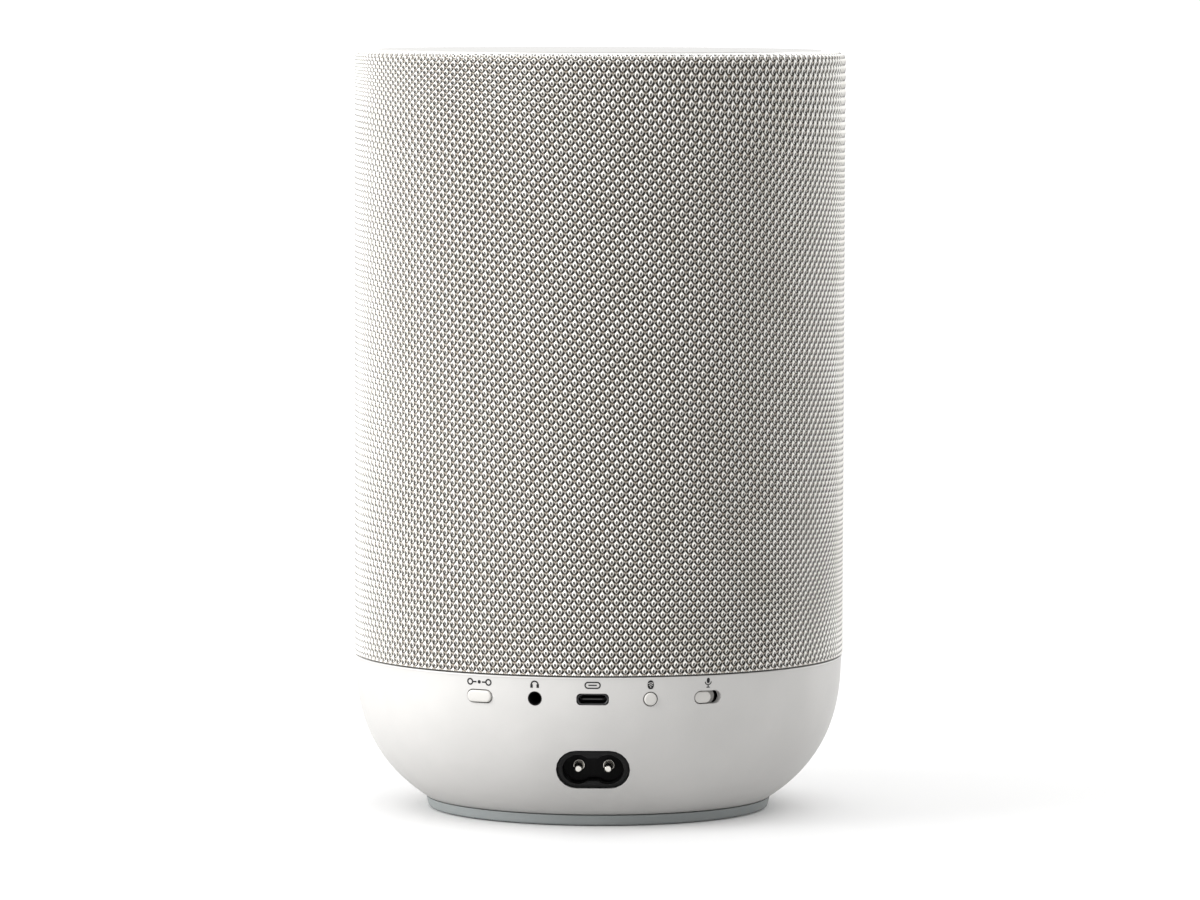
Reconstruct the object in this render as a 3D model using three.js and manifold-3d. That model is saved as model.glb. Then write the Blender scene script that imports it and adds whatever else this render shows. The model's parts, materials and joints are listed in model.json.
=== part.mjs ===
// A free-standing smart speaker: a fabric-wrapped cylinder on a moulded base.
// Millimetres, +Z up, origin on the floor at the middle of the foot. The front faces -Y, the sockets +Y.
import * as THREE from "three";
import { mergeVertices } from "three/addons/utils/BufferGeometryUtils.js";
import Module from "manifold-3d";

const wasm = await Module();
wasm.setup();

// ---- Driving dimensions: the outside ----
const BODY_RADIUS = 72.5; // outside of the fabric
const BODY_HEIGHT = 223.5;
const SEAM_HEIGHT = 45.5; // where the fabric meets the base
const SEAM_GAP = 0.4;
const BASE_INSET = 0.45; // how far the base's rim stands inside the fabric
const FOOT_RADIUS = 50.9;
const FOOT_HEIGHT = 3.3;
const FOOT_WIDTH = 7.6;
const TOP_CORNER = 2.4; // radius of the fabric's roll over the top rim
const PANEL_PROUD = 0.4; // how far the top panel stands above the fabric

// ---- Walls, sheets and clearances ----
const FIT = 0.3; // gap between pieces that touch
const MOVING_GAP = 0.3; // gap round a button or a slider in its hole
const SHELL_WALL = 2.4;
const FABRIC_THICKNESS = 1.4;
const GRILLE_WALL = 2.2;
const CABINET_WALL = 3;
const CABINET_CLEARANCE = 4.6; // between the cabinet and the grille frame
const DECK_THICKNESS = 3;
const BOARD_THICKNESS = 1.6;

// ---- Base shell: how its side curves in to the foot ----
const SHELL_STRAIGHT = 5; // reach of the nearly upright stretch under the rim
const SHELL_TAPER = 0.95; // how far that stretch leans in
const FOOT_LEAN = 0.564; // angle at which the side meets the foot, in radians
const FOOT_REACH = 27.3;

// ---- Controls and sockets in the rear of the base ----
const PORT_DROP = 6.5; // from the seam down to the row of controls
const PORT_PITCH = THREE.MathUtils.degToRad(13.65);
const PILL_LENGTH = 8.4;
const PILL_HEIGHT = 4;
const ROUND_BUTTON_RADIUS = 1.85;
const BUTTON_PROUD = 0.5;
const BUTTON_TRAVEL = 0.5;
const SLOT_LENGTH = 8.6;
const SLOT_HEIGHT = 3.9;
const SLIDER_TRAVEL = 2.9;
const AUDIO_HOLE_RADIUS = 2.1; // in the wall, round the socket's nose
const AUDIO_NOSE_RADIUS = 2;
const AUDIO_BORE_RADIUS = 1.75;
const USB_WIDTH = 8.94;
const USB_HEIGHT = 3.2;
const USB_HOLE_WIDTH = 9.3;
const USB_HOLE_HEIGHT = 3.4;
const USB_HOLE_CORNER = 1.2;
const SOCKET_RECESS = 0.5; // fronts of the small sockets below the shell's surface
const INLET_HEIGHT = 18;
const INLET_WIDTH = 20.7;
const INLET_TALL = 11.2;
const INLET_RECESS = 0.7; // face of the inlet below the shell's surface
const INLET_DEPTH = 20;
const PIN_PITCH = 8.6;
const PIN_RADIUS = 1.2;
const PIN_LENGTH = 9;
const PIN_COLLAR_RADIUS = 1.75;

// ---- Drivers ----
const WOOFER_RADIUS = 42;
const BASKET_DEPTH = 22;
const COIL_RADIUS = 8.2;
const MAGNET_RADIUS = 26;
const DRIVER_LEDGE = 5; // width of the flange that rests on the cabinet
const DRIVER_EDGE = 1.6; // flat left round a driver
const GASKET_THICKNESS = 1;
const FLANGE_THICKNESS = 2.4;
const TWEETER_RADIUS = 17;
const TWEETER_DOME_RADIUS = 9.5;
const RADIATOR_RADIUS = 32;
const SCREW_RADIUS = 1.4;
const SCREW_HEAD_RADIUS = 2.6;

// ---- Heights and radii that follow ----
const portHeight = SEAM_HEIGHT - PORT_DROP;
const shellTop = SEAM_HEIGHT - SEAM_GAP / 2;
const sleeveBottom = SEAM_HEIGHT + SEAM_GAP / 2;
const shellRimRadius = BODY_RADIUS - BASE_INSET;
const sleeveInner = BODY_RADIUS - FABRIC_THICKNESS;
const grilleOuter = sleeveInner - FIT;
const grilleInner = grilleOuter - GRILLE_WALL;
const cabinetRadius = grilleInner - CABINET_CLEARANCE;
const deckBottom = shellTop + FIT;
const deckTop = deckBottom + DECK_THICKNESS;
const cabinetBottom = deckTop + FIT;
const fabricTop = BODY_HEIGHT - PANEL_PROUD;
const carrierTop = fabricTop - FABRIC_THICKNESS - FIT;
const carrierBottom = BODY_HEIGHT - 11.5;
const carrierFloorTop = carrierBottom + 2;
const cabinetTop = carrierBottom - FIT;
const footInner = FOOT_RADIUS - FOOT_WIDTH;

// ---- Solids ----

function toSolid(geometry) {
  const bare = geometry.index ? geometry.toNonIndexed() : geometry.clone();
  for (const name of Object.keys(bare.attributes)) {
    if (name !== "position") bare.deleteAttribute(name);
  }
  const merged = mergeVertices(bare, 1e-3);
  const vertProperties = merged.attributes.position.array;
  const triVerts = new Uint32Array(merged.index.array);
  return new wasm.Manifold(new wasm.Mesh({ numProp: 3, vertProperties, triVerts }));
}

function toGeometry(solid) {
  const found = solid.getMesh();
  const geometry = new THREE.BufferGeometry();
  geometry.setAttribute("position", new THREE.BufferAttribute(found.vertProperties, 3));
  geometry.setIndex(new THREE.BufferAttribute(found.triVerts, 1));
  geometry.computeVertexNormals();
  return geometry;
}

function join(first, ...others) {
  return toGeometry(others.reduce((made, other) => made.add(toSolid(other)), toSolid(first)));
}

function cut(first, ...others) {
  return toGeometry(others.reduce((made, other) => made.subtract(toSolid(other)), toSolid(first)));
}

function common(first, second) {
  return toGeometry(toSolid(first).intersect(toSolid(second)));
}

// A closed outline of [radius, height] pairs turned about +Z, in whichever order the outline runs.
function turned(outline, segments) {
  const points = outline.map(([radius, height]) => new THREE.Vector2(Math.max(radius, 0), height));
  const twiceArea = points.reduce((sum, point, i) => {
    const next = points[(i + 1) % points.length];
    return sum + point.x * next.y - next.x * point.y;
  }, 0);
  if (twiceArea < 0) points.reverse();
  const onAxis = points.findIndex((point, i) => {
    return point.x === 0 && points[(i + points.length - 1) % points.length].x === 0;
  });
  const ordered = onAxis < 0 ? points : [...points.slice(onAxis), ...points.slice(0, onAxis)];
  if (onAxis < 0) ordered.push(ordered[0].clone());
  return new THREE.LatheGeometry(ordered, segments).rotateX(Math.PI / 2);
}

function disc(radius, bottom, top, segments = 24) {
  return turned([[0, bottom], [radius, bottom], [radius, top], [0, top]], segments);
}

function ring(inner, outer, bottom, top, segments = 48) {
  return turned([[inner, bottom], [outer, bottom], [outer, top], [inner, top]], segments);
}

function block(width, depth, bottom, top) {
  return new THREE.BoxGeometry(width, depth, top - bottom).translate(0, 0, (bottom + top) / 2);
}

function prism(shape, bottom, top, curveSegments = 6) {
  const settings = { depth: top - bottom, bevelEnabled: false, curveSegments };
  return new THREE.ExtrudeGeometry(shape, settings).translate(0, 0, bottom);
}

// A slot outline with round ends.
function pill(length, height) {
  const radius = height / 2;
  const reach = length / 2 - radius;
  const shape = new THREE.Shape();
  shape.absarc(reach, 0, radius, -Math.PI / 2, Math.PI / 2);
  shape.absarc(-reach, 0, radius, Math.PI / 2, Math.PI * 1.5);
  return shape;
}

// A rectangle with round corners.
function softBox(width, height, corner) {
  const across = width / 2 - corner;
  const up = height / 2 - corner;
  const shape = new THREE.Shape();
  shape.absarc(across, up, corner, 0, Math.PI / 2);
  shape.absarc(-across, up, corner, Math.PI / 2, Math.PI);
  shape.absarc(-across, -up, corner, Math.PI, Math.PI * 1.5);
  shape.absarc(across, -up, corner, Math.PI * 1.5, Math.PI * 2);
  return shape;
}

// A circle with its far side cut off straight at y = flat.
function trimmedCircle(radius, flat) {
  const half = Math.acos(Math.min(flat / radius, 1));
  const shape = new THREE.Shape();
  shape.absarc(0, 0, radius, Math.PI / 2 + half, Math.PI * 2.5 - half);
  return shape;
}

function tube(points, radius, steps) {
  const path = new THREE.CatmullRomCurve3(points.map((point) => new THREE.Vector3(...point)));
  const section = new THREE.Shape().absarc(0, 0, radius, 0, Math.PI * 2);
  const settings = { steps, extrudePath: path, curveSegments: 4, bevelEnabled: false };
  return new THREE.ExtrudeGeometry(section, settings);
}

// ---- Materials ----

function finish(color, roughness, metalness = 0) {
  return new THREE.MeshStandardMaterial({ color, roughness, metalness });
}

const shellGrey = finish(0xd6d3cf, 0.6);
const knitGrey = finish(0xb9b4ac, 0.95);
const footRubber = finish(0x8b9296, 0.8);
const buttonGrey = finish(0xdedad5, 0.5);
const panelGrey = finish(0xd2d1cf, 0.35);
const diffuserWhite = finish(0xf0f0ec, 0.5);
const socketBlack = finish(0x151515, 0.5);
const innerBlack = finish(0x26272a, 0.7);
const boardGreen = finish(0x1f5a3c, 0.6);
const steel = finish(0xb8babd, 0.35, 1);
const nickel = finish(0xcfcdc6, 0.25, 1);
const darkMetal = finish(0x3a3a3b, 0.45, 1);
const ferrite = finish(0x3a3a3c, 0.7);
const coneBlack = finish(0x1c1c1e, 0.85);
const softRubber = finish(0x19191a, 0.9);
const copper = finish(0xb9703c, 0.35, 1);
const aluminium = finish(0xb4b7ba, 0.4, 1);
const silk = finish(0x2e2e33, 0.8);
const foam = finish(0x3c3c3e, 0.95);
const cableGrey = finish(0x44464a, 0.6);

// ---- The speaker, and the frames that its pieces are placed in ----

const speaker = new THREE.Group();

function add(name, geometry, material, parent = speaker) {
  const mesh = new THREE.Mesh(geometry, material);
  mesh.name = name;
  parent.add(mesh);
  return mesh;
}

// A frame whose +Z points forwards out of the cabinet.
function frontFrame(distance, height) {
  const frame = new THREE.Group();
  frame.position.set(0, -distance, height);
  frame.rotation.x = Math.PI / 2;
  speaker.add(frame);
  return frame;
}

// A frame whose +Z points out to one side: 1 for +X, -1 for -X.
function sideFrame(side, distance, height) {
  const frame = new THREE.Group();
  frame.position.set(side * distance, 0, height);
  frame.rotation.y = (side * Math.PI) / 2;
  speaker.add(frame);
  return frame;
}

// A frame in the rear whose +Z points out and +Y down, turned by an angle from straight back towards +X.
function rearFrame(angle, distance, height) {
  const turn = new THREE.Group();
  turn.rotation.z = -angle;
  const frame = new THREE.Group();
  frame.position.set(0, distance, height);
  frame.rotation.x = -Math.PI / 2;
  turn.add(frame);
  speaker.add(turn);
  return frame;
}

function placed(frame, geometry) {
  frame.updateWorldMatrix(true, false);
  return geometry.clone().applyMatrix4(frame.matrixWorld);
}

// ---- Base ----

const shellCurve = new THREE.CubicBezierCurve(
  new THREE.Vector2(shellRimRadius, shellTop),
  new THREE.Vector2(shellRimRadius - SHELL_TAPER, shellTop - SHELL_STRAIGHT),
  new THREE.Vector2(
    FOOT_RADIUS + FOOT_REACH * Math.cos(FOOT_LEAN),
    FOOT_HEIGHT + FOOT_REACH * Math.sin(FOOT_LEAN),
  ),
  new THREE.Vector2(FOOT_RADIUS, FOOT_HEIGHT),
);

// The shell's side, moved inwards by a depth, as [radius, height] pairs from the rim down.
function shellSide(depth, steps) {
  return Array.from({ length: steps + 1 }, (_, i) => {
    const point = shellCurve.getPoint(i / steps);
    const along = shellCurve.getTangent(i / steps);
    return [point.x + along.y * depth, point.y - along.x * depth];
  });
}

// The shell's radius at a height, moved inwards by a depth.
function shellRadiusAt(height, depth = 0) {
  const side = shellSide(depth, 200);
  return side.reduce((best, point) => {
    return Math.abs(point[1] - height) < Math.abs(best[1] - height) ? point : best;
  })[0];
}

const portRadius = shellRadiusAt(portHeight);
const inletRadius = shellRadiusAt(INLET_HEIGHT);
const connectFrame = rearFrame(2 * PORT_PITCH, portRadius, portHeight);
const audioFrame = rearFrame(PORT_PITCH, portRadius, portHeight);
const usbFrame = rearFrame(0, portRadius, portHeight);
const pairingFrame = rearFrame(-PORT_PITCH, portRadius, portHeight);
const sliderFrame = rearFrame(-2 * PORT_PITCH, portRadius, portHeight);
const inletFrame = rearFrame(0, inletRadius, INLET_HEIGHT);

const FLOOR_THICKNESS = 2.4;
const FLOOR_OPENING = 30;
const floorTop = FOOT_HEIGHT + FLOOR_THICKNESS;
const BOSS_RADIUS = 3.2;
const COVER_SCREWS = 3;
const COVER_SCREW_CIRCLE = 36;
const powerBoardBottom = floorTop + 3.4;
const powerBoardRadius = shellRadiusAt(floorTop + 1, SHELL_WALL) - 4;
const inletInner = inletRadius - INLET_DEPTH;

function coverScrewAngle(i) {
  return Math.PI / 2 + (i * 2 * Math.PI) / COVER_SCREWS;
}

function onCircle(geometry, radius, angle) {
  return geometry.translate(radius * Math.cos(angle), radius * Math.sin(angle), 0);
}

function makeBaseShell() {
  const outside = shellSide(0, 7);
  const inside = shellSide(SHELL_WALL, 4).filter(([, height]) => height > floorTop + 0.5);
  const corner = [shellRadiusAt(floorTop, SHELL_WALL), floorTop];
  const floor = [[FLOOR_OPENING, floorTop], [FLOOR_OPENING, FOOT_HEIGHT]];
  inside[0] = [inside[0][0], shellTop];
  const outline = [...outside.reverse(), ...inside, corner, ...floor];
  const bowl = turned(outline, 60);
  const bosses = [45, 135, 225, 315].map((degrees) => {
    const boss = disc(BOSS_RADIUS, floorTop - 1, powerBoardBottom - FIT, 8);
    return onCircle(boss, powerBoardRadius - BOSS_RADIUS - 1, THREE.MathUtils.degToRad(degrees));
  });
  const screwHoles = Array.from({ length: COVER_SCREWS }, (_, i) => {
    const hole = disc(SCREW_RADIUS + FIT, 0, floorTop + 1, 8);
    return onCircle(hole, COVER_SCREW_CIRCLE, coverScrewAngle(i));
  });
  const gap = 2 * MOVING_GAP;
  const through = [-2 * SHELL_WALL, 3];
  const holes = [
    placed(connectFrame, prism(pill(PILL_LENGTH, PILL_HEIGHT), ...through)),
    placed(audioFrame, disc(AUDIO_HOLE_RADIUS, ...through)),
    placed(usbFrame, prism(softBox(USB_HOLE_WIDTH, USB_HOLE_HEIGHT, USB_HOLE_CORNER), ...through)),
    placed(pairingFrame, disc(ROUND_BUTTON_RADIUS + MOVING_GAP, ...through)),
    placed(sliderFrame, prism(pill(SLOT_LENGTH, SLOT_HEIGHT), ...through)),
    placed(inletFrame, prism(pill(INLET_WIDTH + gap, INLET_TALL + gap), -INLET_DEPTH, 12, 10)),
  ];
  return cut(join(bowl, ...bosses), ...screwHoles, ...holes);
}

add("base_shell", makeBaseShell(), shellGrey);

const COVER_BOTTOM = 0.9;
const SCREW_HEAD_HEIGHT = 1.2;
const footTop = FOOT_HEIGHT - FIT;
const footOutline = [
  [footInner, 0],
  [FOOT_RADIUS - 0.8, 0],
  [FOOT_RADIUS - 0.2, 0.6],
  [FOOT_RADIUS, footTop],
  [footInner, footTop],
];
add("foot_ring", turned(footOutline, 48), footRubber);

const coverCuts = Array.from({ length: COVER_SCREWS }, (_, i) => {
  const shaftHole = disc(SCREW_RADIUS + FIT, COVER_BOTTOM - 1, footTop + 1, 8);
  const headHole = disc(SCREW_HEAD_RADIUS + FIT, COVER_BOTTOM - 1, COVER_BOTTOM + SCREW_HEAD_HEIGHT, 12);
  return onCircle(join(shaftHole, headHole), COVER_SCREW_CIRCLE, coverScrewAngle(i));
});
add("bottom_cover", cut(disc(footInner - FIT, COVER_BOTTOM, footTop, 40), ...coverCuts), innerBlack);

function makeScrew(headBottom, headTop, shaftEnd) {
  return join(disc(SCREW_HEAD_RADIUS, headBottom, headTop, 12), disc(SCREW_RADIUS, headBottom, shaftEnd, 8));
}

for (let i = 0; i < COVER_SCREWS; i += 1) {
  const headTop = COVER_BOTTOM + SCREW_HEAD_HEIGHT - FIT;
  const screw = makeScrew(headTop - 1, headTop, floorTop + 2);
  add("cover_screw_" + (i + 1), onCircle(screw, COVER_SCREW_CIRCLE, coverScrewAngle(i)), steel);
}

// ---- Port board and what it carries ----

const HOUSING_BELOW = 3.3; // from a socket's middle down to the board
const portBoardTop = portHeight - HOUSING_BELOW;
const portBoardBottom = portBoardTop - BOARD_THICKNESS;
const HOUSING_REACH = 6.4; // of the widest flat piece behind the wall, to one side
const wallBehind = shellRadiusAt(portHeight - HOUSING_BELOW, SHELL_WALL);
const wallCurve = HOUSING_REACH ** 2 / (2 * wallBehind);
const portInside = wallBehind - portRadius - wallCurve - FIT; // front of what stands behind the wall
const portBoardOuter = shellRadiusAt(portBoardBottom, SHELL_WALL) - 1.5;
const PORT_BOARD_WIDTH = 15;
const portBoardInner = portBoardOuter - PORT_BOARD_WIDTH;
const portBoardHalfAngle = 2.6 * PORT_PITCH;
const boardShape = new THREE.Shape();
boardShape.absarc(0, 0, portBoardOuter, Math.PI / 2 - portBoardHalfAngle, Math.PI / 2 + portBoardHalfAngle);
boardShape.absarc(0, 0, portBoardInner, Math.PI / 2 + portBoardHalfAngle, Math.PI / 2 - portBoardHalfAngle, true);
add("port_board", prism(boardShape, portBoardBottom, portBoardTop), boardGreen);

const underPort = portHeight - portBoardTop - FIT; // room below a socket's middle

// A housing on the port board, from one depth behind the shell's surface to another.
function housing(width, above, back, front) {
  return new THREE.BoxGeometry(width, above + underPort, front - back)
    .translate(0, (underPort - above) / 2, (front + back) / 2);
}

const AUDIO_DEPTH = 12;
const audioBore = disc(AUDIO_BORE_RADIUS, portInside - AUDIO_DEPTH + 1.5, 1, 16);
const audioBody = join(
  housing(6.4, 3, portInside - AUDIO_DEPTH, portInside),
  disc(AUDIO_NOSE_RADIUS, portInside - 1, -SOCKET_RECESS, 20),
);
add("audio_jack", cut(audioBody, audioBore), socketBlack, audioFrame);

const USB_DEPTH = 7.4;
const USB_SHEET = 0.35;
const usbCavity = prism(pill(USB_WIDTH - 2 * USB_SHEET, USB_HEIGHT - 2 * USB_SHEET), portInside - USB_DEPTH + 1, 1);
const usbOuter = prism(pill(USB_WIDTH, USB_HEIGHT), portInside - USB_DEPTH, -SOCKET_RECESS);
add("usb_socket", cut(usbOuter, usbCavity), darkMetal, usbFrame);
const tongueBack = portInside - USB_DEPTH + 1 + FIT;
const tongueFront = -SOCKET_RECESS - 0.8;
const tongue = new THREE.BoxGeometry(6.6, 0.7, tongueFront - tongueBack)
  .translate(0, 0, (tongueBack + tongueFront) / 2);
add("usb_tongue", tongue, socketBlack, usbFrame);

const FLANGE_OVERLAP = 0.8;
const BUTTON_FLANGE = 0.9;
const CAP_CHAMFER = 0.35;

// A button's cap, with a flange behind the wall that keeps it in.
function makeButton(face, smallerFace, flange) {
  const flangeFront = portInside;
  return join(
    prism(flange, flangeFront - BUTTON_FLANGE, flangeFront),
    prism(face, flangeFront - 0.1, BUTTON_PROUD - CAP_CHAMFER),
    prism(smallerFace, flangeFront, BUTTON_PROUD),
  );
}

const capLength = PILL_LENGTH - 2 * MOVING_GAP;
const capHeight = PILL_HEIGHT - 2 * MOVING_GAP;
const pillCap = makeButton(
  pill(capLength, capHeight),
  pill(capLength - CAP_CHAMFER, capHeight - CAP_CHAMFER),
  pill(PILL_LENGTH + FLANGE_OVERLAP, PILL_HEIGHT + FLANGE_OVERLAP),
);
add("connect_button", pillCap, buttonGrey, connectFrame);

function circle(radius) {
  return pill(2 * radius + 0.002, 2 * radius);
}

const roundCap = makeButton(
  circle(ROUND_BUTTON_RADIUS),
  circle(ROUND_BUTTON_RADIUS - CAP_CHAMFER / 2),
  circle(ROUND_BUTTON_RADIUS + FLANGE_OVERLAP),
);
add("pairing_button", roundCap, buttonGrey, pairingFrame);

const plungerFront = portInside - BUTTON_FLANGE - BUTTON_TRAVEL - FIT;

function makePushSwitch() {
  const body = housing(4.6, 2.2, plungerFront - 4.2, plungerFront - 0.7);
  const plunger = disc(1, plungerFront - 0.8, plungerFront, 12);
  return join(body, plunger);
}

add("connect_switch", makePushSwitch(), socketBlack, connectFrame);
add("pairing_switch", makePushSwitch(), socketBlack, pairingFrame);

const KNOB_LENGTH = SLOT_LENGTH - SLIDER_TRAVEL - 2 * MOVING_GAP;
const KNOB_HEIGHT = SLOT_HEIGHT - 2 * MOVING_GAP;
const KNOB_RIB = 0.6;
const knobMiddle = SLIDER_TRAVEL / 2; // at rest it stands at the +X end of its slot
const sliderPlateFront = portInside;
const knob = join(
  prism(pill(KNOB_LENGTH, KNOB_HEIGHT), sliderPlateFront - 0.1, -0.2),
  new THREE.BoxGeometry(KNOB_RIB, KNOB_HEIGHT - 1.2, 1).translate(0, 0, -0.2),
  prism(pill(SLOT_LENGTH + 2 * FLANGE_OVERLAP, SLOT_HEIGHT + FLANGE_OVERLAP), sliderPlateFront - 0.9, sliderPlateFront),
).translate(knobMiddle, 0, 0);
add("mic_slider", knob, buttonGrey, sliderFrame);
const slideSwitchFront = sliderPlateFront - 0.9 - FIT;
add("slide_switch", housing(9, 2.2, slideSwitchFront - 4, slideSwitchFront), socketBlack, sliderFrame);

// ---- Mains inlet ----

const CAVITY_LOBE = 4.5;
const CAVITY_WAIST = 7;
const CAVITY_DEPTH = 13;
const inletFaceProfile = [[0, shellTop], ...shellSide(INLET_RECESS, 7), [0, FOOT_HEIGHT]];
const inletReach = turned(inletFaceProfile, 60);
const inletPrism = placed(inletFrame, prism(pill(INLET_WIDTH, INLET_TALL), -INLET_DEPTH, 12, 10));
const cavityFloor = -CAVITY_DEPTH;
const cavity = join(
  disc(CAVITY_LOBE, cavityFloor, 12).translate(PIN_PITCH / 2, 0, 0),
  disc(CAVITY_LOBE, cavityFloor, 12).translate(-PIN_PITCH / 2, 0, 0),
  new THREE.BoxGeometry(PIN_PITCH, CAVITY_WAIST, 12 - cavityFloor).translate(0, 0, (12 + cavityFloor) / 2),
);
add("mains_inlet", cut(common(inletPrism, inletReach), placed(inletFrame, cavity)), socketBlack);
for (const [side, name] of [[-1, "mains_pin_left"], [1, "mains_pin_right"]]) {
  const start = cavityFloor + FIT;
  const pin = turned([
    [0, start],
    [PIN_COLLAR_RADIUS, start],
    [PIN_COLLAR_RADIUS, start + 0.6],
    [PIN_RADIUS, start + 0.6],
    [PIN_RADIUS, start + PIN_LENGTH - 0.8],
    [PIN_RADIUS - 0.6, start + PIN_LENGTH],
    [0, start + PIN_LENGTH],
  ], 16);
  add(name, pin.translate((side * PIN_PITCH) / 2, 0, 0), nickel, inletFrame);
}

// ---- Power board and main board ----

const BOARD_CLEARANCE = 3;
const MAIN_BOARD_DROP = 11; // from the deck down to the main board
const mainBoardTop = deckBottom - MAIN_BOARD_DROP;
const mainBoardBottom = mainBoardTop - BOARD_THICKNESS;
const powerBoardTop = powerBoardBottom + BOARD_THICKNESS;
const powerBoardShape = trimmedCircle(powerBoardRadius, inletInner - BOARD_CLEARANCE);
const powerPartTop = mainBoardBottom - BOARD_CLEARANCE;
const CAPACITOR_RADIUS = 8;
const capacitor = disc(CAPACITOR_RADIUS, powerBoardTop - 0.5, powerPartTop, 20)
  .translate(18, -10, 0);
const powerPlate = prism(powerBoardShape, powerBoardBottom, powerBoardTop, 20);
add("power_board", join(powerPlate, capacitor), boardGreen);
const transformerCore = block(24, 22, powerBoardTop + FIT, powerPartTop);
const transformerCoil = disc(13.5, powerBoardTop + 3, powerPartTop - 3, 20);
add("transformer", join(transformerCore, transformerCoil).translate(-18, -8, 0), ferrite);

const mainBoardRadius = shellRadiusAt(mainBoardBottom, SHELL_WALL) - 6;
const mainBoardFlat = portBoardInner * Math.cos(portBoardHalfAngle) - BOARD_CLEARANCE;
const mainBoardShape = trimmedCircle(mainBoardRadius, mainBoardFlat);
add("main_board", prism(mainBoardShape, mainBoardBottom, mainBoardTop, 20), boardGreen);

const FIN_COUNT = 7;
const HEATSINK_WIDTH = 36;
const HEATSINK_DEPTH = 22;
const heatsinkBottom = mainBoardTop + FIT;
const heatsinkTop = deckBottom - 3.5;
const finPitch = HEATSINK_WIDTH / FIN_COUNT;
const heatsinkGrooves = Array.from({ length: FIN_COUNT - 1 }, (_, i) => {
  const groove = block(finPitch / 2, HEATSINK_DEPTH + 1, heatsinkBottom + 2, heatsinkTop + 1);
  return groove.translate((i + 1) * finPitch - HEATSINK_WIDTH / 2, 0, 0);
});
const heatsink = cut(block(HEATSINK_WIDTH, HEATSINK_DEPTH, heatsinkBottom, heatsinkTop), ...heatsinkGrooves);
add("heatsink", heatsink.translate(-12, -30, 0), aluminium);
add("wireless_shield", block(18, 16, heatsinkBottom, heatsinkBottom + 2.6).translate(24, -24, 0), nickel);

// ---- Chassis deck ----

const CABLE_ANGLE = THREE.MathUtils.degToRad(136); // round from +X
const CABLE_WIDTH = 10;
const CABLE_THICKNESS = 0.4;
const cableRadius = cabinetRadius + 1.2;
const LEAD_X = 14;
const LEAD_Y = 12;
const LEAD_RADIUS = 1.2;
const PLUG_REACH = 2.6; // how far the deck's rib reaches down into the shell
const deckPlugRadius = shellRadiusAt(shellTop - PLUG_REACH, SHELL_WALL) - 2 * FIT;
const POST_RADIUS = 3;

function makeDeck() {
  const plate = turned([
    [0, deckBottom],
    [grilleOuter - 0.4, deckBottom],
    [grilleOuter - 0.4, deckTop],
    [0, deckTop],
  ], 48);
  const plug = ring(deckPlugRadius - 2.5, deckPlugRadius, shellTop - PLUG_REACH, deckBottom + 0.5, 48);
  const posts = [30, 150, 225, 315].map((degrees) => {
    const post = disc(POST_RADIUS, mainBoardTop + FIT, deckBottom + 0.5, 8);
    return onCircle(post, mainBoardRadius - POST_RADIUS - 2, THREE.MathUtils.degToRad(degrees));
  });
  const cableSlot = block(CABLE_THICKNESS + 3, CABLE_WIDTH + 3, shellTop - 4, deckTop + 1)
    .translate(cableRadius, 0, 0)
    .rotateZ(CABLE_ANGLE);
  const leadHole = disc(LEAD_RADIUS + 1, deckBottom - 1, deckTop + 1, 12).translate(LEAD_X, LEAD_Y, 0);
  return cut(join(plate, plug, ...posts), cableSlot, leadHole);
}

add("chassis_deck", makeDeck(), innerBlack);

// ---- Cabinet, with flats for the drivers ----

const frontFlat = Math.sqrt(cabinetRadius ** 2 - (WOOFER_RADIUS + DRIVER_EDGE) ** 2);
const sideFlat = Math.sqrt(cabinetRadius ** 2 - (RADIATOR_RADIUS + DRIVER_EDGE) ** 2);
const cabinetHeight = cabinetTop - cabinetBottom;
const driverMargin = (cabinetHeight - 2 * WOOFER_RADIUS - 2 * TWEETER_RADIUS) / 3;
const wooferHeight = cabinetBottom + driverMargin + WOOFER_RADIUS;
const tweeterHeight = cabinetTop - driverMargin - TWEETER_RADIUS;
const radiatorHeight = cabinetBottom + cabinetHeight / 2;
const wooferFrame = frontFrame(frontFlat, wooferHeight);
const tweeterFrame = frontFrame(frontFlat, tweeterHeight);
const radiatorFrames = [["left", -1], ["right", 1]].map(([name, side]) => {
  return [name, sideFrame(side, sideFlat, radiatorHeight)];
});
const WOOFER_SCREWS = 4;
const wooferScrewCircle = WOOFER_RADIUS - DRIVER_LEDGE / 2 - 0.4;

function wooferScrewAngle(i) {
  return Math.PI / 4 + (i * 2 * Math.PI) / WOOFER_SCREWS;
}

// The cabinet's body, drawn in on every side by an inset.
function cabinetBody(inset) {
  const height = cabinetHeight - 2 * inset;
  const round = disc(cabinetRadius - inset, cabinetBottom + inset, cabinetTop - inset, 48);
  const depth = frontFlat + cabinetRadius - 2 * inset;
  const limits = new THREE.BoxGeometry(2 * (sideFlat - inset), depth, height)
    .translate(0, (cabinetRadius - frontFlat) / 2, (cabinetBottom + cabinetTop) / 2);
  return common(round, limits);
}

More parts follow.
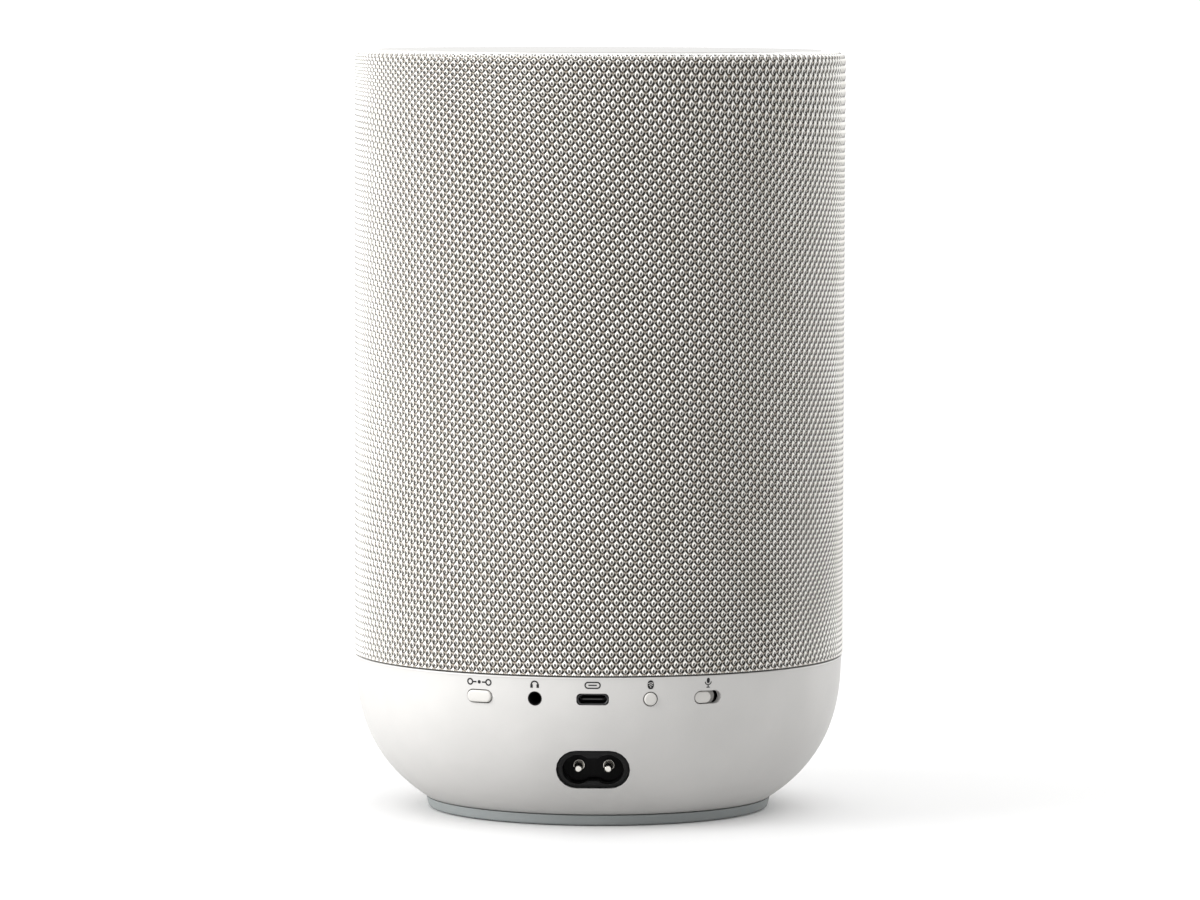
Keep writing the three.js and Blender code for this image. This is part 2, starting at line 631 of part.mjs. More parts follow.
function makeCabinet() {
  const through = [-CABINET_WALL - 2, 2];
  const screwHoles = Array.from({ length: WOOFER_SCREWS }, (_, i) => {
    const hole = disc(SCREW_RADIUS + FIT, ...through, 8);
    return placed(wooferFrame, onCircle(hole, wooferScrewCircle, wooferScrewAngle(i)));
  });
  return cut(
    cabinetBody(0),
    cabinetBody(CABINET_WALL),
    placed(wooferFrame, disc(WOOFER_RADIUS - DRIVER_LEDGE, ...through, 32)),
    placed(tweeterFrame, disc(TWEETER_RADIUS - DRIVER_LEDGE / 2, ...through, 24)),
    ...radiatorFrames.map(([, frame]) => placed(frame, disc(RADIATOR_RADIUS - DRIVER_LEDGE, ...through, 28))),
    ...screwHoles,
    disc(LEAD_RADIUS + 1, cabinetBottom - 1, cabinetBottom + CABINET_WALL + 1, 12).translate(LEAD_X, LEAD_Y, 0),
  );
}

add("cabinet", makeCabinet(), innerBlack);

// ---- Woofer: +Z points out of the cabinet from the flat that its gasket lies on ----

const flangeBack = GASKET_THICKNESS + 2 * FIT;
const flangeFront = flangeBack + FLANGE_THICKNESS;
const basketRim = WOOFER_RADIUS - DRIVER_LEDGE - 0.6;
const basketFloor = -BASKET_DEPTH;
const SHEET = 1.2;
const basketNeck = MAGNET_RADIUS + 0.5;
const basketOutline = [
  [basketRim - SHEET, flangeBack],
  [basketRim - SHEET, flangeFront - 1],
  [basketRim - SHEET - 1.4, flangeFront - 1],
  [basketRim - SHEET - 1.4, flangeFront],
  [WOOFER_RADIUS, flangeFront],
  [WOOFER_RADIUS, flangeBack],
  [basketRim, flangeBack],
  [basketNeck, basketFloor],
  [COIL_RADIUS + 2.4, basketFloor],
  [COIL_RADIUS + 2.4, basketFloor + 2],
  [basketNeck - SHEET - 0.6, basketFloor + 2],
];
const wooferHoles = Array.from({ length: WOOFER_SCREWS }, (_, i) => {
  return onCircle(disc(SCREW_RADIUS + FIT, -1, flangeFront + 1, 8), wooferScrewCircle, wooferScrewAngle(i));
});
const windowHeight = BASKET_DEPTH * 0.5;
const basketWindows = Array.from({ length: 4 }, (_, i) => {
  return new THREE.BoxGeometry(2 * WOOFER_RADIUS, 18, windowHeight)
    .translate(WOOFER_RADIUS + COIL_RADIUS, 0, basketFloor / 2 - 1)
    .rotateZ((i * Math.PI) / 2);
});
const basket = cut(turned(basketOutline, 28), ...wooferHoles, ...basketWindows);
add("woofer_basket", basket, innerBlack, wooferFrame);
const gasketInner = WOOFER_RADIUS - DRIVER_LEDGE;
const gasket = cut(ring(gasketInner, WOOFER_RADIUS, FIT, FIT + GASKET_THICKNESS, 32), ...wooferHoles);
add("woofer_gasket", gasket, foam, wooferFrame);
for (let i = 0; i < WOOFER_SCREWS; i += 1) {
  const screw = makeScrew(flangeFront + FIT, flangeFront + FIT + 1.4, -CABINET_WALL - 1);
  add("woofer_screw_" + (i + 1), onCircle(screw, wooferScrewCircle, wooferScrewAngle(i)), steel, wooferFrame);
}

const motorFront = basketFloor - FIT;
const PLATE_THICKNESS = 3;
const MAGNET_THICKNESS = 10;
const magnetFront = motorFront - PLATE_THICKNESS - FIT;
const backPlateFront = magnetFront - MAGNET_THICKNESS - FIT;
const poleRadius = COIL_RADIUS - 1.2;
add("woofer_top_plate", ring(COIL_RADIUS + 0.9, MAGNET_RADIUS - 3, motorFront - PLATE_THICKNESS, motorFront, 24),
  steel, wooferFrame);
add("woofer_magnet", ring(COIL_RADIUS + 5, MAGNET_RADIUS, magnetFront - MAGNET_THICKNESS, magnetFront, 24),
  ferrite, wooferFrame);
const backPlate = turned([
  [0, backPlateFront - PLATE_THICKNESS],
  [MAGNET_RADIUS - 3, backPlateFront - PLATE_THICKNESS],
  [MAGNET_RADIUS - 3, backPlateFront],
  [poleRadius, backPlateFront],
  [poleRadius, motorFront],
  [0, motorFront],
], 24);
add("woofer_back_plate", backPlate, steel, wooferFrame);

const coneEdge = basketRim - 10;
const coneFront = 1.4;
const coneNeck = COIL_RADIUS + 0.3;
const coneBack = -9;
const CONE_SHEET = 0.9;
const coneOutline = [
  [coneNeck, coneBack],
  [(coneNeck + coneEdge) / 2 + 1.5, (coneBack + coneFront) / 2 - 1.6],
  [coneEdge, coneFront - CONE_SHEET],
  [coneEdge, coneFront],
  [(coneNeck + coneEdge) / 2 + 0.8, (coneBack + coneFront) / 2 - 0.6],
  [coneNeck, coneBack + CONE_SHEET + 0.6],
];
add("woofer_cone", turned(coneOutline, 24), coneBlack, wooferFrame);
const coilGap = 0.3;
const coil = ring(COIL_RADIUS - 0.5, COIL_RADIUS, motorFront - 4.5, coneBack + CONE_SHEET, 20);
add("voice_coil", coil, copper, wooferFrame);

// A shallow dome with a wall, from its rim up to its crown.
function dome(radius, rim, rise, sheet, segments) {
  const outer = [0, 0.35, 0.7, 1].map((share) => {
    return [radius * Math.cos((share * Math.PI) / 2), rim + sheet + rise * Math.sin((share * Math.PI) / 2)];
  });
  const inner = outer.map(([across, height]) => [Math.max(across - sheet * (across / radius), 0), height - sheet]);
  outer[3][0] = 0;
  inner[3][0] = 0;
  return turned([...outer, ...inner.reverse()], segments);
}

const capRim = coneBack + CONE_SHEET + 0.6 + coilGap + 3;
add("dust_cap", dome(COIL_RADIUS + 3.4, capRim, 3.4, 0.6, 20), coneBlack, wooferFrame);

const GLUED_EDGE = 1.8;

// A half-round rubber roll between two radii, with the flat edges that it is glued by.
function halfRoll(inner, outer, base, sheet, segments) {
  const middle = (inner + outer) / 2;
  const radius = (outer - inner) / 2 - GLUED_EDGE;
  const arc = (size) => Array.from({ length: 5 }, (_, i) => {
    const angle = (i * Math.PI) / 4;
    return [middle + size * Math.cos(angle), base + size * Math.sin(angle)];
  });
  const top = arc(radius + sheet).map(([across, height]) => [across, Math.max(height, base + sheet)]);
  const edges = [[inner, base + sheet], [inner, base], ...arc(radius).reverse(), [outer, base]];
  return turned([[outer, base + sheet], ...top, ...edges], segments);
}

const surroundOuter = basketRim - SHEET - 0.3;
const surround = halfRoll(coneEdge + FIT, surroundOuter, flangeFront - 1 - FIT - 0.5, 0.5, 24);
add("woofer_surround", surround, softRubber, wooferFrame);
const spiderOuter = basketNeck - SHEET - 1.4;
const spiderLevel = basketFloor + 2 + FIT;
const spider = turned([
  [COIL_RADIUS + FIT, spiderLevel],
  [COIL_RADIUS + 4, spiderLevel + 0.9],
  [COIL_RADIUS + 7, spiderLevel],
  [spiderOuter - 3, spiderLevel + 0.9],
  [spiderOuter, spiderLevel],
  [spiderOuter, spiderLevel + 0.5],
  [spiderOuter - 3, spiderLevel + 1.4],
  [COIL_RADIUS + 7, spiderLevel + 0.5],
  [COIL_RADIUS + 4, spiderLevel + 1.4],
  [COIL_RADIUS + FIT, spiderLevel + 0.5],
], 24);
add("woofer_spider", spider, copper, wooferFrame);

// ---- Tweeter ----

const tweeterFlange = turned([
  [TWEETER_DOME_RADIUS + 1.2, -3],
  [TWEETER_RADIUS - DRIVER_LEDGE / 2 - 0.6, -3],
  [TWEETER_RADIUS - DRIVER_LEDGE / 2 - 0.6, FIT],
  [TWEETER_RADIUS, FIT],
  [TWEETER_RADIUS, FIT + 2],
  [TWEETER_DOME_RADIUS + 3, FIT + 1.2],
  [TWEETER_DOME_RADIUS + 1.2, -0.6],
], 24);
add("tweeter_frame", tweeterFlange, innerBlack, tweeterFrame);
add("tweeter_dome", dome(TWEETER_DOME_RADIUS, -1.6, 3.6, 0.5, 20), silk, tweeterFrame);
add("tweeter_magnet", disc(TWEETER_DOME_RADIUS + 2.2, -13, -3 - FIT, 24), ferrite, tweeterFrame);

// ---- Passive radiators ----

const DIAPHRAGM_RADIUS = 20;
for (const [name, frame] of radiatorFrames) {
  const opening = RADIATOR_RADIUS - DRIVER_LEDGE + 0.4;
  const rim = turned([
    [opening, FIT],
    [RADIATOR_RADIUS, FIT],
    [RADIATOR_RADIUS, FIT + 2],
    [opening - 1.2, FIT + 2],
    [opening - 1.2, FIT + 1.2],
    [opening, FIT + 1.2],
  ], 32);
  add("radiator_frame_" + name, rim, innerBlack, frame);
  const roll = halfRoll(DIAPHRAGM_RADIUS + FIT, opening - FIT, 0.2, 0.5, 24);
  add("radiator_surround_" + name, roll, softRubber, frame);
  add("radiator_diaphragm_" + name, disc(DIAPHRAGM_RADIUS, -1.2, 1, 32), coneBlack, frame);
}

// ---- Grille frame: a tube of upright slots between solid bands ----

const GRILLE_COLUMNS = 20;
const GRILLE_ROWS = 3;
const BAND_HEIGHT = 6;

function makeGrille() {
  const bottom = deckTop + FIT;
  const top = carrierBottom - FIT;
  const slotHeight = (top - bottom - (GRILLE_ROWS + 1) * BAND_HEIGHT) / GRILLE_ROWS;
  const levels = [bottom];
  for (let row = 0; row < GRILLE_ROWS; row += 1) {
    levels.push(levels.at(-1) + BAND_HEIGHT);
    levels.push(levels.at(-1) + slotHeight);
  }
  levels.push(top);
  const columns = 2 * GRILLE_COLUMNS;
  const corner = (column, level, radius) => {
    const angle = (column * Math.PI) / GRILLE_COLUMNS;
    return [radius * Math.cos(angle), radius * Math.sin(angle), levels[level]];
  };
  const isOpen = (column, level) => {
    return (column + columns) % 2 === 1 && level > 0 && level % 2 === 1 && level < levels.length - 2;
  };
  const positions = [];
  const face = (a, b, c, d) => positions.push(...a, ...b, ...c, ...a, ...c, ...d);
  for (let column = 0; column < columns; column += 1) {
    for (let level = 0; level < levels.length - 1; level += 1) {
      const outer = [[0, 0], [1, 0], [1, 1], [0, 1]].map(([i, j]) => corner(column + i, level + j, grilleOuter));
      const inner = [[0, 0], [1, 0], [1, 1], [0, 1]].map(([i, j]) => corner(column + i, level + j, grilleInner));
      if (isOpen(column, level)) {
        face(outer[0], outer[1], inner[1], inner[0]);
        face(inner[3], inner[2], outer[2], outer[3]);
        face(outer[0], inner[0], inner[3], outer[3]);
        face(inner[1], outer[1], outer[2], inner[2]);
      } else {
        face(...outer);
        face(inner[1], inner[0], inner[3], inner[2]);
      }
      if (level === 0) face(inner[0], inner[1], outer[1], outer[0]);
      if (level === levels.length - 2) face(outer[3], outer[2], inner[2], inner[3]);
    }
  }
  const geometry = new THREE.BufferGeometry();
  return geometry.setAttribute("position", new THREE.Float32BufferAttribute(positions, 3));
}

add("grille_frame", makeGrille(), innerBlack);

// ---- Fabric sleeve, rolled over the top rim and turned in at the seam ----

const SLEEVE_TURN_IN = 2.2; // how far the fabric's edge reaches in past its roll

function roundCorner(radius) {
  const middle = [BODY_RADIUS - TOP_CORNER, fabricTop - TOP_CORNER];
  return [0, 1, 2].map((i) => {
    const angle = (i * Math.PI) / 4;
    return [middle[0] + radius * Math.cos(angle), middle[1] + radius * Math.sin(angle)];
  });
}

const sleeveEdge = BODY_RADIUS - TOP_CORNER - SLEEVE_TURN_IN;
const sleeveOutline = [
  [sleeveInner, sleeveBottom],
  [BODY_RADIUS - 0.6, sleeveBottom],
  [BODY_RADIUS, sleeveBottom + 0.8],
  ...roundCorner(TOP_CORNER),
  [sleeveEdge, fabricTop - 0.3],
  [sleeveEdge, fabricTop - FABRIC_THICKNESS],
  ...roundCorner(TOP_CORNER - FABRIC_THICKNESS).reverse(),
];
add("fabric_sleeve", turned(sleeveOutline, 60), knitGrey);

// ---- Top: carrier, light ring, touch board, microphones and panel ----

const lightOuter = sleeveEdge - FIT;
const LIGHT_WIDTH = 2;
const lightInner = lightOuter - LIGHT_WIDTH;
const panelRadius = lightInner - FIT;
const PANEL_THICKNESS = 2.4;
const panelBottom = BODY_HEIGHT - PANEL_THICKNESS;
const touchBoardTop = panelBottom - 2.6;
const touchBoardRadius = panelRadius - 5;
const carrierWell = lightInner - 1;
const carrierOutline = [
  [0, carrierBottom],
  [grilleOuter, carrierBottom],
  [grilleOuter, carrierTop - TOP_CORNER],
  [grilleOuter - TOP_CORNER, carrierTop - FIT],
  [lightOuter + FIT, carrierTop - FIT],
  [lightOuter + FIT, panelBottom - 1],
  [carrierWell, panelBottom - 1],
  [carrierWell, carrierFloorTop],
  [0, carrierFloorTop],
];
const carrierSlot = block(CABLE_THICKNESS + 8, CABLE_WIDTH + 3, carrierBottom - 1, panelBottom + 1)
  .translate(cableRadius - 2.5, 0, 0)
  .rotateZ(CABLE_ANGLE);
const boardPosts = [0, 90, 180, 270].map((degrees) => {
  const post = disc(POST_RADIUS, carrierFloorTop - 0.5, touchBoardTop - BOARD_THICKNESS - FIT, 8);
  return onCircle(post, touchBoardRadius - POST_RADIUS - 2, THREE.MathUtils.degToRad(degrees));
});
add("top_carrier", cut(join(turned(carrierOutline, 48), ...boardPosts), carrierSlot), innerBlack);
add("light_ring", ring(lightInner, lightOuter, panelBottom - 1 + FIT, BODY_HEIGHT - 0.4, 48), diffuserWhite);
add("touch_board", disc(touchBoardRadius, touchBoardTop - BOARD_THICKNESS, touchBoardTop, 40), boardGreen);

const MICROPHONE_CIRCLE = 40;
const MICROPHONE_HOLE = 0.7;
const panelOutline = [
  [0, panelBottom],
  [panelRadius, panelBottom],
  [panelRadius, BODY_HEIGHT - 0.5],
  [panelRadius - 0.5, BODY_HEIGHT],
  [0, BODY_HEIGHT],
];
const microphoneHoles = [-1, 1].map((side) => {
  return disc(MICROPHONE_HOLE, panelBottom - 1, BODY_HEIGHT + 1, 8).translate(side * MICROPHONE_CIRCLE, 0, 0);
});
add("top_panel", cut(turned(panelOutline, 48), ...microphoneHoles), panelGrey);
for (const [side, name] of [[-1, "microphone_left"], [1, "microphone_right"]]) {
  const can = disc(2.4, touchBoardTop + FIT, panelBottom - FIT, 12);
  add(name, can.translate(side * MICROPHONE_CIRCLE, 0, 0), nickel);
}

// ---- Touch cable and leads ----

// The flat cable rises from the main board, steps out under the deck and climbs beside the cabinet.
const CABLE_TAIL = 8; // lying on the main board
const cableStart = mainBoardRadius - 8;
const cableEnd = touchBoardRadius - 4;
const cableLow = mainBoardTop + FIT;
const cableShelf = deckBottom - 2;
const cableHigh = touchBoardTop - BOARD_THICKNESS - FIT - CABLE_THICKNESS;
const cableShape = new THREE.Shape([
  [cableStart - CABLE_TAIL, cableLow],
  [cableStart + CABLE_THICKNESS, cableLow],
  [cableStart + CABLE_THICKNESS, cableShelf],
  [cableRadius + CABLE_THICKNESS, cableShelf],
  [cableRadius + CABLE_THICKNESS, cableHigh + CABLE_THICKNESS],
  [cableEnd, cableHigh + CABLE_THICKNESS],
  [cableEnd, cableHigh],
  [cableRadius, cableHigh],
  [cableRadius, cableShelf + CABLE_THICKNESS],
  [cableStart, cableShelf + CABLE_THICKNESS],
  [cableStart, cableLow + CABLE_THICKNESS],
  [cableStart - CABLE_TAIL, cableLow + CABLE_THICKNESS],
].map((point) => new THREE.Vector2(...point)));
const touchCable = prism(cableShape, -CABLE_WIDTH / 2, CABLE_WIDTH / 2)
  .rotateX(Math.PI / 2)
  .rotateZ(CABLE_ANGLE);
add("touch_cable", touchCable, cableGrey);

const basketBackY = -frontFlat - basketFloor + PLATE_THICKNESS + MAGNET_THICKNESS + 8;
const speakerLead = tube([
  [LEAD_X, LEAD_Y, mainBoardTop + FIT + 1],
  [LEAD_X, LEAD_Y, deckTop],
  [LEAD_X, LEAD_Y, cabinetBottom + CABINET_WALL + 4],
  [LEAD_X + 4, LEAD_Y, wooferHeight - MAGNET_RADIUS],
  [MAGNET_RADIUS + 4, Math.min(basketBackY, LEAD_Y) - 6, wooferHeight - 4],
], LEAD_RADIUS, 14);
add("speaker_lead", speakerLead, cableGrey);

const leadEnd = powerBoardTop + FIT + 1;
const mainsLead = tube([
  [0, inletInner - FIT, INLET_HEIGHT],
  [0, inletInner - 5, INLET_HEIGHT],
  [0, inletInner - 12, INLET_HEIGHT - 3],
  [0, inletInner - 18, leadEnd],
], LEAD_RADIUS, 10);
add("mains_lead", mainsLead, cableGrey);

export default speaker;
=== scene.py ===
"""A cylindrical smart speaker in a knitted sleeve, seen from behind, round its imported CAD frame."""
import json
import math

import bmesh
import bpy
import numpy as np
from mathutils import Matrix, Vector


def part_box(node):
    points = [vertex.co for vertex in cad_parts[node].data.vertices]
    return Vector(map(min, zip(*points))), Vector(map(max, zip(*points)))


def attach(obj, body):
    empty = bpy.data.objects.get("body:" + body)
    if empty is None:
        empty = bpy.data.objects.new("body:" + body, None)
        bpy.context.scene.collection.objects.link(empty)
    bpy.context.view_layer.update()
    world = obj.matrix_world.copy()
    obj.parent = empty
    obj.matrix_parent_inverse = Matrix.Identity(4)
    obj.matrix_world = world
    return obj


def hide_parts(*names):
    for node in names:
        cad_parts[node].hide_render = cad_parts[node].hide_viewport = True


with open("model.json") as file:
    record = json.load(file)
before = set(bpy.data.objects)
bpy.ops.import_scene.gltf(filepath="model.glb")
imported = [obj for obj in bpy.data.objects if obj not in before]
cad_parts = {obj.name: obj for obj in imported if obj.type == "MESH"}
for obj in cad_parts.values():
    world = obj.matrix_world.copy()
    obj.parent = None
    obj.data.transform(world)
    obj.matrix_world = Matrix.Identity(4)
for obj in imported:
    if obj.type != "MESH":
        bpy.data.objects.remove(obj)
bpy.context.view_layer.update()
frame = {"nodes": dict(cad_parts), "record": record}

MM = 0.001

# ---- What the frame says ----

low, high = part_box("fabric_sleeve")
BODY_RADIUS, SLEEVE_BOTTOM, SLEEVE_TOP = high[0], low[2], high[2]
low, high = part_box("base_shell")
RIM_RADIUS, SHELL_BOTTOM, SHELL_TOP = high[0], low[2], high[2]
low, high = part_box("foot_ring")
FOOT_RADIUS, FOOT_TOP = high[0], high[2]
low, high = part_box("top_panel")
PANEL_RADIUS, PANEL_BOTTOM, BODY_TOP = high[0], low[2], high[2]


def middle(node):
    """The middle of a CAD node's box."""
    lowest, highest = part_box(node)
    return (Vector(lowest) + Vector(highest)) / 2


def angle_of(node):
    """How far round from straight back, towards +X, a CAD node stands."""
    place = middle(node)
    return math.atan2(place.x, place.y)


PORT_HEIGHT = middle("pairing_button").z
INLET_HEIGHT = middle("mains_inlet").z

# ---- The shell's side, as the CAD draws it ----

SHELL_STRAIGHT = 5 * MM
SHELL_TAPER = 0.95 * MM
FOOT_LEAN = 0.564
FOOT_REACH = 27.3 * MM


def shell_side(count):
    """Points (radius, height) down the outside of the base shell, from rim to foot."""
    ends = np.array([[RIM_RADIUS, SHELL_TOP], [FOOT_RADIUS, SHELL_BOTTOM]])
    upper = ends[0] + [-SHELL_TAPER, -SHELL_STRAIGHT]
    lower = ends[1] + [FOOT_REACH * math.cos(FOOT_LEAN), FOOT_REACH * math.sin(FOOT_LEAN)]
    t = np.linspace(0, 1, count)[:, None]
    return (
        (1 - t) ** 3 * ends[0]
        + 3 * (1 - t) ** 2 * t * upper
        + 3 * (1 - t) * t**2 * lower
        + t**3 * ends[1]
    )


SIDE = shell_side(400)


def shell_radius(height):
    """The base shell's outer radius at a height."""
    return float(np.interp(height, SIDE[::-1, 1], SIDE[::-1, 0]))


# ---- Shader maths ----


class Number:
    """A number socket of a material, with Python's operators."""

    def __init__(self, paint, socket):
        self.paint = paint
        self.socket = socket

    def maths(self, operation, *values):
        inputs = dict(enumerate(values))
        made = self.paint.node("ShaderNodeMath", inputs, operation=operation)
        return Number(self.paint, made.outputs[0])

    def __add__(self, other):
        return self.maths("ADD", self, other)

    def __sub__(self, other):
        return self.maths("SUBTRACT", self, other)

    def __rsub__(self, other):
        return self.maths("SUBTRACT", other, self)

    def __mul__(self, other):
        return self.maths("MULTIPLY", self, other)

    def __truediv__(self, other):
        return self.maths("DIVIDE", self, other)

    def __pow__(self, other):
        return self.maths("POWER", self, other)

    def __abs__(self):
        return self.maths("ABSOLUTE", self)

    __radd__ = __add__
    __rmul__ = __mul__

    def sine(self):
        return self.maths("SINE", self)

    def fraction(self):
        return self.maths("FRACT", self)

    def least(self, other):
        return self.maths("MINIMUM", self, other)

    def step(self, start, end):
        """0 below start and 1 above end, smooth between. start may be above end."""
        settings = {"interpolation_type": "SMOOTHSTEP"}
        inputs = {"Value": self, "From Min": start, "From Max": end}
        made = self.paint.node("ShaderNodeMapRange", inputs, **settings)
        return Number(self.paint, made.outputs["Result"])


class Paint:
    """A material in the making. Values given for its shader's sockets are the same all over."""

    def __init__(self, name, **fixed):
        self.material = bpy.data.materials.new(name)
        self.material.use_nodes = True
        self.tree = self.material.node_tree
        self.shader = self.tree.nodes["Principled BSDF"]
        for socket, value in fixed.items():
            self.shader.inputs[socket.replace("_", " ")].default_value = value

    def node(self, kind, inputs, **settings):
        """Any other node: its type, the values or links of its sockets, and its settings."""
        made = self.tree.nodes.new(kind)
        for key, value in settings.items():
            setattr(made, key, value)
        for key, value in inputs.items():
            self.feed(made.inputs[key], value)
        return made

    def feed(self, socket, value):
        if isinstance(value, Number):
            self.tree.links.new(value.socket, socket)
        elif isinstance(value, bpy.types.NodeSocket):
            self.tree.links.new(value, socket)
        else:
            socket.default_value = value

    def place(self):
        return self.node("ShaderNodeTexCoord", {}).outputs["Object"]

    def stretched(self, scale):
        """Places drawn out unevenly along the axes."""
        return self.node("ShaderNodeMapping", {"Vector": self.place(), "Scale": scale}).outputs[0]

    def noise(self, scale, detail=3.0, roughness=0.5, vector=None):
        inputs = {"Vector": vector or self.place(), "Scale": scale}
        inputs.update({"Detail": detail, "Roughness": roughness})
        return Number(self, self.node("ShaderNodeTexNoise", inputs).outputs["Fac"])

    def mix(self, factor, first, second):
        inputs = {0: factor, 6: first, 7: second}
        made = self.node("ShaderNodeMix", inputs, data_type="RGBA", blend_type="MIX")
        return made.outputs[2]

    def bump(self, height, distance):
        inputs = {"Height": height, "Distance": distance, "Strength": 1.0}
        self.feed(self.shader.inputs["Normal"], self.node("ShaderNodeBump", inputs).outputs[0])

    def set(self, **sockets):
        for socket, value in sockets.items():
            self.feed(self.shader.inputs[socket.replace("_", " ")], value)


def rgb(red, green, blue):
    return (red, green, blue, 1.0)


def moulded(name, colour, roughness, grain=0.03 * MM, grain_scale=3200.0, cloud=0.04, **fixed):
    """Moulded plastic or rubber: a fine eroded grain, faint clouding and slightly uneven gloss."""
    paint = Paint(name, **fixed)
    cloudy = paint.noise(38.0, 4.0)
    grainy = paint.noise(grain_scale, 2.0, 0.6)
    dark = rgb(*[channel * (1 - cloud) for channel in colour])
    light = rgb(*[min(channel * (1 + cloud), 1.0) for channel in colour])
    body = paint.mix(cloudy.step(0.3, 0.7), dark, light)
    paint.set(Base_Color=paint.mix(grainy.step(0.35, 0.65) * 0.25, body, dark))
    paint.set(Roughness=cloudy * 0.12 + (roughness - 0.06))
    paint.bump(grainy, grain)
    return paint.material


def metal(name, colour, roughness, streak=(1.0, 1.0, 12.0)):
    """Bare metal with fine drawn streaks and a little tarnish."""
    paint = Paint(name, Metallic=1.0)
    lines = paint.noise(900.0, 3.0, 0.6, paint.stretched(streak))
    tarnish = paint.noise(140.0, 4.0)
    worn = rgb(*[channel * 0.72 for channel in colour])
    paint.set(Base_Color=paint.mix(tarnish.step(0.35, 0.75) * 0.6, rgb(*colour), worn))
    paint.set(Roughness=lines * 0.18 + (roughness - 0.09))
    paint.bump(lines, 0.01 * MM)
    return paint.material


def circuit_board(name):
    """Green solder mask with copper tracks under it and a few bare pads."""
    paint = Paint(name)
    cells = paint.node("ShaderNodeTexVoronoi", {"Scale": 260.0}, feature="DISTANCE_TO_EDGE")
    paint.feed(cells.inputs["Vector"], paint.place())
    tracks = Number(paint, cells.outputs["Distance"]).step(0.06, 0.03)
    pads = paint.noise(620.0, 1.0).step(0.68, 0.7)
    mask = paint.mix(tracks, rgb(0.012, 0.085, 0.035), rgb(0.03, 0.16, 0.07))
    paint.set(Base_Color=paint.mix(pads, mask, rgb(0.6, 0.55, 0.42)))
    paint.set(Roughness=0.45 - pads * 0.15, Metallic=pads)
    paint.bump(tracks + pads, 0.03 * MM)
    return paint.material


def pulp(name, colour):
    """Pressed paper pulp, as a cone has: short fibres and a soft mottle."""
    paint = Paint(name, Specular_IOR_Level=0.3)
    fibres = paint.noise(900.0, 5.0, 0.7, paint.stretched((1, 4, 1)))
    light = rgb(*[channel * 2.2 + 0.01 for channel in colour])
    paint.set(Base_Color=paint.mix(fibres.step(0.5, 0.8), rgb(*colour), light))
    paint.set(Roughness=fibres * 0.2 + 0.7)
    paint.bump(fibres, 0.08 * MM)
    return paint.material


def woven(name, colour):
    """Plain-woven cloth stiffened with resin."""
    paint = Paint(name, Specular_IOR_Level=0.3)
    axes = paint.node("ShaderNodeSeparateXYZ", {0: paint.place()}).outputs
    threads = 2 * math.pi / (0.7 * MM)
    warp = (Number(paint, axes["X"]) * threads).sine()
    crossing = warp * (Number(paint, axes["Z"]) * threads).sine()
    dark = rgb(*[channel * 0.45 for channel in colour])
    paint.set(Base_Color=paint.mix(crossing.step(-0.6, 0.6), dark, rgb(*colour)))
    paint.set(Roughness=crossing * 0.05 + 0.85)
    paint.bump(crossing, 0.08 * MM)
    return paint.material


# ---- The knit: drop-shaped loops in staggered rows, over a net of slanting threads ----

STITCHES_ROUND = 168
ROW_PITCH = 1.67 * MM
STITCH_PITCH = 2 * math.pi * BODY_RADIUS / STITCHES_ROUND
LOOP_HALF_WIDTH = 0.68 * MM
LOOP_HALF_HEIGHT = 1.08 * MM
LOOP_RAISED = 0.22 * MM  # how far the loop stands over its slot
SLOT_PLACE = (0.0, -0.08 * MM)
SLOT_HALF = (0.31 * MM, 0.52 * MM)
HOLE_PLACE = (0.77 * MM, -0.58 * MM)
HOLE_HALF = (0.35 * MM, 0.60 * MM)
HOLE_SLANT = 0.5  # how far a hole leans out for each step up
# Where the painted shade under each loop's foot lies, and its size.
FOOT_SHADE_PLACE = (0.0, -1.2 * MM)
FOOT_SHADE_HALF = (0.34 * MM, 0.34 * MM)
PEAK = 1.75  # below 2 draws the loop's ends in to points


